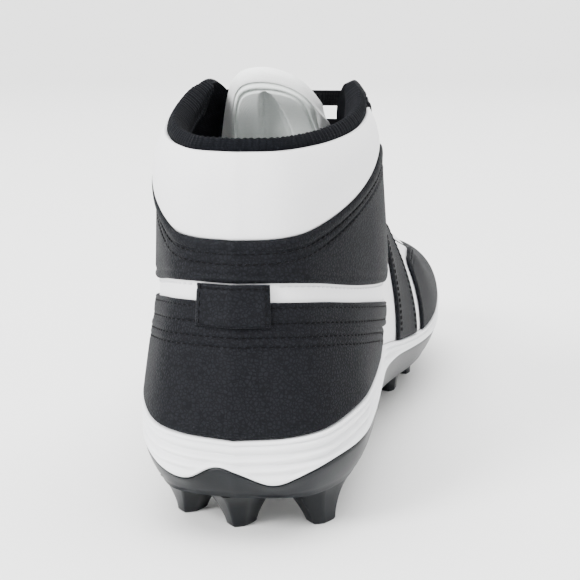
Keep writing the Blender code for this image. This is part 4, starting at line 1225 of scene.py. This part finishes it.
def instance_tree(name, inputs):
    """An empty node tree with named inputs that gives back a mesh."""
    tree = bpy.data.node_groups.new(name, "GeometryNodeTree")
    for label, kind in inputs:
        tree.interface.new_socket(label, in_out="INPUT", socket_type="NodeSocket" + kind)
    tree.interface.new_socket("Pieces", in_out="OUTPUT", socket_type="NodeSocketGeometry")
    return tree, tree.nodes.new("NodeGroupInput").outputs


def facing(tree, first=None):
    """Rotation that turns a piece's Z to the way out of the leather, and its X along the row."""
    way_out = wire(tree, "GeometryNodeInputNamedAttribute", Name="out")
    way_out.data_type = "FLOAT_VECTOR"
    turned = wire(tree, "FunctionNodeAlignRotationToVector", [("Vector", way_out.outputs["Attribute"])])
    turned.axis = "Z"
    if first is not None:
        turned.pivot_axis = "X"
        tree.links.new(first, turned.inputs["Rotation"])
    return turned.outputs["Rotation"]


def coloured(tree, geometry, finish):
    return wire(tree, "GeometryNodeSetMaterial", [("Geometry", geometry), ("Material", finish)]).outputs[0]


def hole_tree():
    """Punched holes: a pressed rim and a flat dark disc at each point, which stands in for the hole: the
    dark knit backing of the leather, with painted shade of the hole's depth.
    """
    tree, given = instance_tree("punched holes", (
        ("Places", "Geometry"), ("Radius", "Float"), ("Lip", "Float"),
        ("Rim", "Material"), ("Bottom", "Material")))
    circle = wire(tree, "GeometryNodeCurvePrimitiveCircle", [("Radius", given["Radius"])], Resolution=14)
    profile = wire(tree, "GeometryNodeCurvePrimitiveCircle", [("Radius", given["Lip"])], Resolution=6)
    ring = wire(tree, "GeometryNodeCurveToMesh", [
        ("Curve", circle.outputs[0]), ("Profile Curve", profile.outputs[0])])
    smooth = wire(tree, "GeometryNodeSetShadeSmooth", [("Geometry", ring.outputs[0])])
    disc = wire(tree, "GeometryNodeMeshCircle", [("Radius", given["Radius"])], Vertices=14)
    disc.fill_type = "NGON"
    both = wire(tree, "GeometryNodeJoinGeometry", [
        ("Geometry", coloured(tree, smooth.outputs[0], given["Rim"])),
        ("Geometry", coloured(tree, disc.outputs[0], given["Bottom"]))])
    placed = wire(tree, "GeometryNodeInstanceOnPoints", [
        ("Points", given["Places"]), ("Instance", both.outputs[0]), ("Rotation", facing(tree))])
    real = wire(tree, "GeometryNodeRealizeInstances", [("Geometry", placed.outputs[0])])
    wire(tree, "NodeGroupOutput", [("Pieces", real.outputs[0])])
    return tree


def grown(name, tree, points, ways_out, edges, **values):
    """The tree's pieces on some points of the shoe, as a plain mesh."""
    mesh = bpy.data.meshes.new(name + "_places")
    mesh.from_pydata((np.asarray(points) + PLACE).tolist(), edges, [])
    out = mesh.attributes.new("out", "FLOAT_VECTOR", "POINT")
    out.data.foreach_set("vector", np.asarray(ways_out, float).ravel())
    carrier = bpy.data.objects.new(name + "_places", mesh)
    bpy.context.scene.collection.objects.link(carrier)
    modifier = carrier.modifiers.new("grown", "NODES")
    modifier.node_group = tree
    sockets = {item.name: item.identifier for item in tree.interface.items_tree if item.in_out == "INPUT"}
    for label, value in values.items():
        modifier[sockets[label.replace("_", " ")]] = value
    bpy.context.view_layer.update()
    plain = bpy.data.meshes.new_from_object(carrier.evaluated_get(bpy.context.evaluated_depsgraph_get()))
    bpy.data.objects.remove(carrier)
    piece = bpy.data.objects.new(name, plain)
    bpy.context.scene.collection.objects.link(piece)
    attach(piece, "root")
    return piece


# The disc's near-black is partly the dark knit that backs the leather and partly painted shade of the hole's
# depth; no hole is cut.
hole_lining_and_shade, _, _ = shader_of("hole lining and painted shade", (0.004, 0.004, 0.004), 0.95)
holes = hole_tree()
eyelets = grown("eyelets", holes, eyelet_places, eyelet_ways_out, [],
                Radius=EYELET_RADIUS, Lip=EYELET_LIP, Rim=black_leather, Bottom=hole_lining_and_shade)

# Breathing holes. Small punched holes in even rows through the white leather over the toes.
BREATHING_RADIUS = 0.00055
BREATHING_LIP = 0.00014
BREATHING_PITCH = (0.0055, 0.0062)
BREATHING_FIRST, BREATHING_LAST = 0.048, 0.118
vamp_q, vamp_w = np.meshgrid(np.linspace(THROAT_END, 2 - THROAT_END, 281), np.linspace(0.45, 0.985, 150))
vamp = plain_upper(vamp_q, vamp_w)[..., :2]
breathing_q, breathing_w = [], []
for row, y in enumerate(np.arange(BREATHING_FIRST, BREATHING_LAST, BREATHING_PITCH[1])):
    for x in (np.arange(-5, 6) + 0.5 * (row % 2)) * BREATHING_PITCH[0]:
        away = np.hypot(vamp[..., 0] - x, vamp[..., 1] - y)
        near = np.unravel_index(away.argmin(), away.shape)
        if away[near] < 0.0006 and vamp_w[near] > toe_top(vamp_q[near]) + 0.10:
            breathing_q.append(vamp_q[near])
            breathing_w.append(vamp_w[near])
breathing_q, breathing_w = np.array(breathing_q), np.array(breathing_w)
breathing = grown("breathing_holes", holes, on_upper(breathing_q, breathing_w, 0.00004),
                  upper_normal(breathing_q, breathing_w), [],
                  Radius=BREATHING_RADIUS, Lip=BREATHING_LIP, Rim=white_leather, Bottom=hole_lining_and_shade)

# Stitches. Rows of waxed thread, black on the black leather and pale on the white, each stitch a
# short bead pulled down into the furrow of its seam.
STITCH_PITCH = 0.0024
STITCH_LENGTH = 0.0019
THREAD = 0.00062


def stitch_tree():
    """Beads of thread along lines on the leather."""
    tree, given = instance_tree("stitch rows", (
        ("Lines", "Geometry"), ("Pitch", "Float"), ("Stitch Length", "Float"), ("Thread", "Float"),
        ("Finish", "Material")))
    lines = wire(tree, "GeometryNodeMeshToCurve", [("Mesh", given["Lines"])])
    spots = wire(tree, "GeometryNodeResampleCurve", [("Curve", lines.outputs[0])])
    spots.mode = "LENGTH"
    tree.links.new(given["Pitch"], spots.inputs["Length"])
    bead = wire(tree, "GeometryNodeMeshUVSphere", Segments=8, Rings=5, Radius=0.5)
    size = wire(tree, "ShaderNodeCombineXYZ", [
        ("X", given["Stitch Length"]), ("Y", given["Thread"]), ("Z", given["Thread"])])
    shaped = wire(tree, "GeometryNodeTransform", [("Geometry", bead.outputs[0]), ("Scale", size.outputs[0])])
    tangent = wire(tree, "GeometryNodeInputTangent").outputs[0]
    row = wire(tree, "FunctionNodeAlignRotationToVector", [("Vector", tangent)])
    row.axis = "X"
    placed = wire(tree, "GeometryNodeInstanceOnPoints", [
        ("Points", spots.outputs[0]), ("Instance", shaped.outputs[0]),
        ("Rotation", facing(tree, row.outputs["Rotation"]))])
    smooth = wire(tree, "GeometryNodeSetShadeSmooth", [("Geometry", placed.outputs[0])])
    real = wire(tree, "GeometryNodeRealizeInstances", [("Geometry", smooth.outputs[0])])
    wire(tree, "NodeGroupOutput", [("Pieces", coloured(tree, real.outputs[0], given["Finish"]))])
    return tree


def thread_finish(name, colour):
    made, tree, shader = shader_of(name, colour, 0.65, 0.08)
    relief(tree, shader, noise(tree, 3500.0), 0.00008, 0.7)
    return made


rows_of_thread = stitch_tree()
THREADS = {"black": (0.0012, 0.0012, 0.0018), "white": (0.66, 0.66, 0.69)}
for shade, lines in stitch_lines.items():
    points, ways_out, edges = [], [], []
    for line, normals in lines:
        first = sum(len(part) for part in points)
        points.append(line)
        ways_out.append(normals)
        edges += [(first + i, first + i + 1) for i in range(len(line) - 1)]
    stitches = grown(f"stitches_{shade}", rows_of_thread, np.concatenate(points), np.concatenate(ways_out),
                     edges, Pitch=STITCH_PITCH, Stitch_Length=STITCH_LENGTH, Thread=THREAD,
                     Finish=thread_finish(f"{shade} thread", THREADS[shade]))

# Studio. A seamless pale sweep that rises all round, a wide soft ceiling light and a smaller soft
# light from the lateral side.
SWEEP_FLAT = 2.4
SWEEP_BEND = 1.2
SWEEP_TOP = 2.6
SWEEP_PALE = (0.80, 0.80, 0.795)
LIGHTS = (
    ("ceiling", (0.0, 0.3, 3.0), (0.0, 0.1, 0.0), 4.6, 350.0),
    ("lateral", (-1.3, -1.7, 1.4), (0.0, -0.05, 0.10), 1.0, 105.0),
)
SKY, SKY_STRENGTH = (0.97, 0.98, 1.0, 1.0), 0.62

bend = np.linspace(0, math.pi / 2, 17)
profile = [(0.05, 0.0), (0.6, 0.0), (SWEEP_FLAT, 0.0)]
profile += [(SWEEP_FLAT + SWEEP_BEND * math.sin(a), SWEEP_BEND * (1 - math.cos(a))) for a in bend[1:]]
profile.append((SWEEP_FLAT + SWEEP_BEND, SWEEP_TOP))
turns = np.linspace(0, 2 * math.pi, 96, endpoint=False)
sweep_points = [(r * math.cos(a), r * math.sin(a), z) for a in turns for r, z in profile]
sweep_faces = grid_faces(96, len(profile), loop=True)
sweep_faces.append(tuple(range(len(sweep_points) - len(profile), -1, -len(profile))))
sweep_mesh = bpy.data.meshes.new("sweep")
sweep_mesh.from_pydata(sweep_points, [], sweep_faces)
sweep_mesh.shade_smooth()
sweep_mesh.materials.append(shader_of("pale paper", SWEEP_PALE, 0.85)[0])
sweep = bpy.data.objects.new("sweep", sweep_mesh)
bpy.context.scene.collection.objects.link(sweep)

for name, place, aim, size, power in LIGHTS:
    lamp = bpy.data.objects.new(name, bpy.data.lights.new(name, "AREA"))
    lamp.data.shape = "DISK"
    lamp.data.size = size
    lamp.data.energy = power
    lamp.location = place
    lamp.rotation_euler = (Vector(aim) - Vector(place)).to_track_quat("-Z", "Y").to_euler()
    bpy.context.scene.collection.objects.link(lamp)

world = bpy.data.worlds.new("studio")
bpy.context.scene.world = world
world.use_nodes = True
world.node_tree.nodes["Background"].inputs["Color"].default_value = SKY
world.node_tree.nodes["Background"].inputs["Strength"].default_value = SKY_STRENGTH
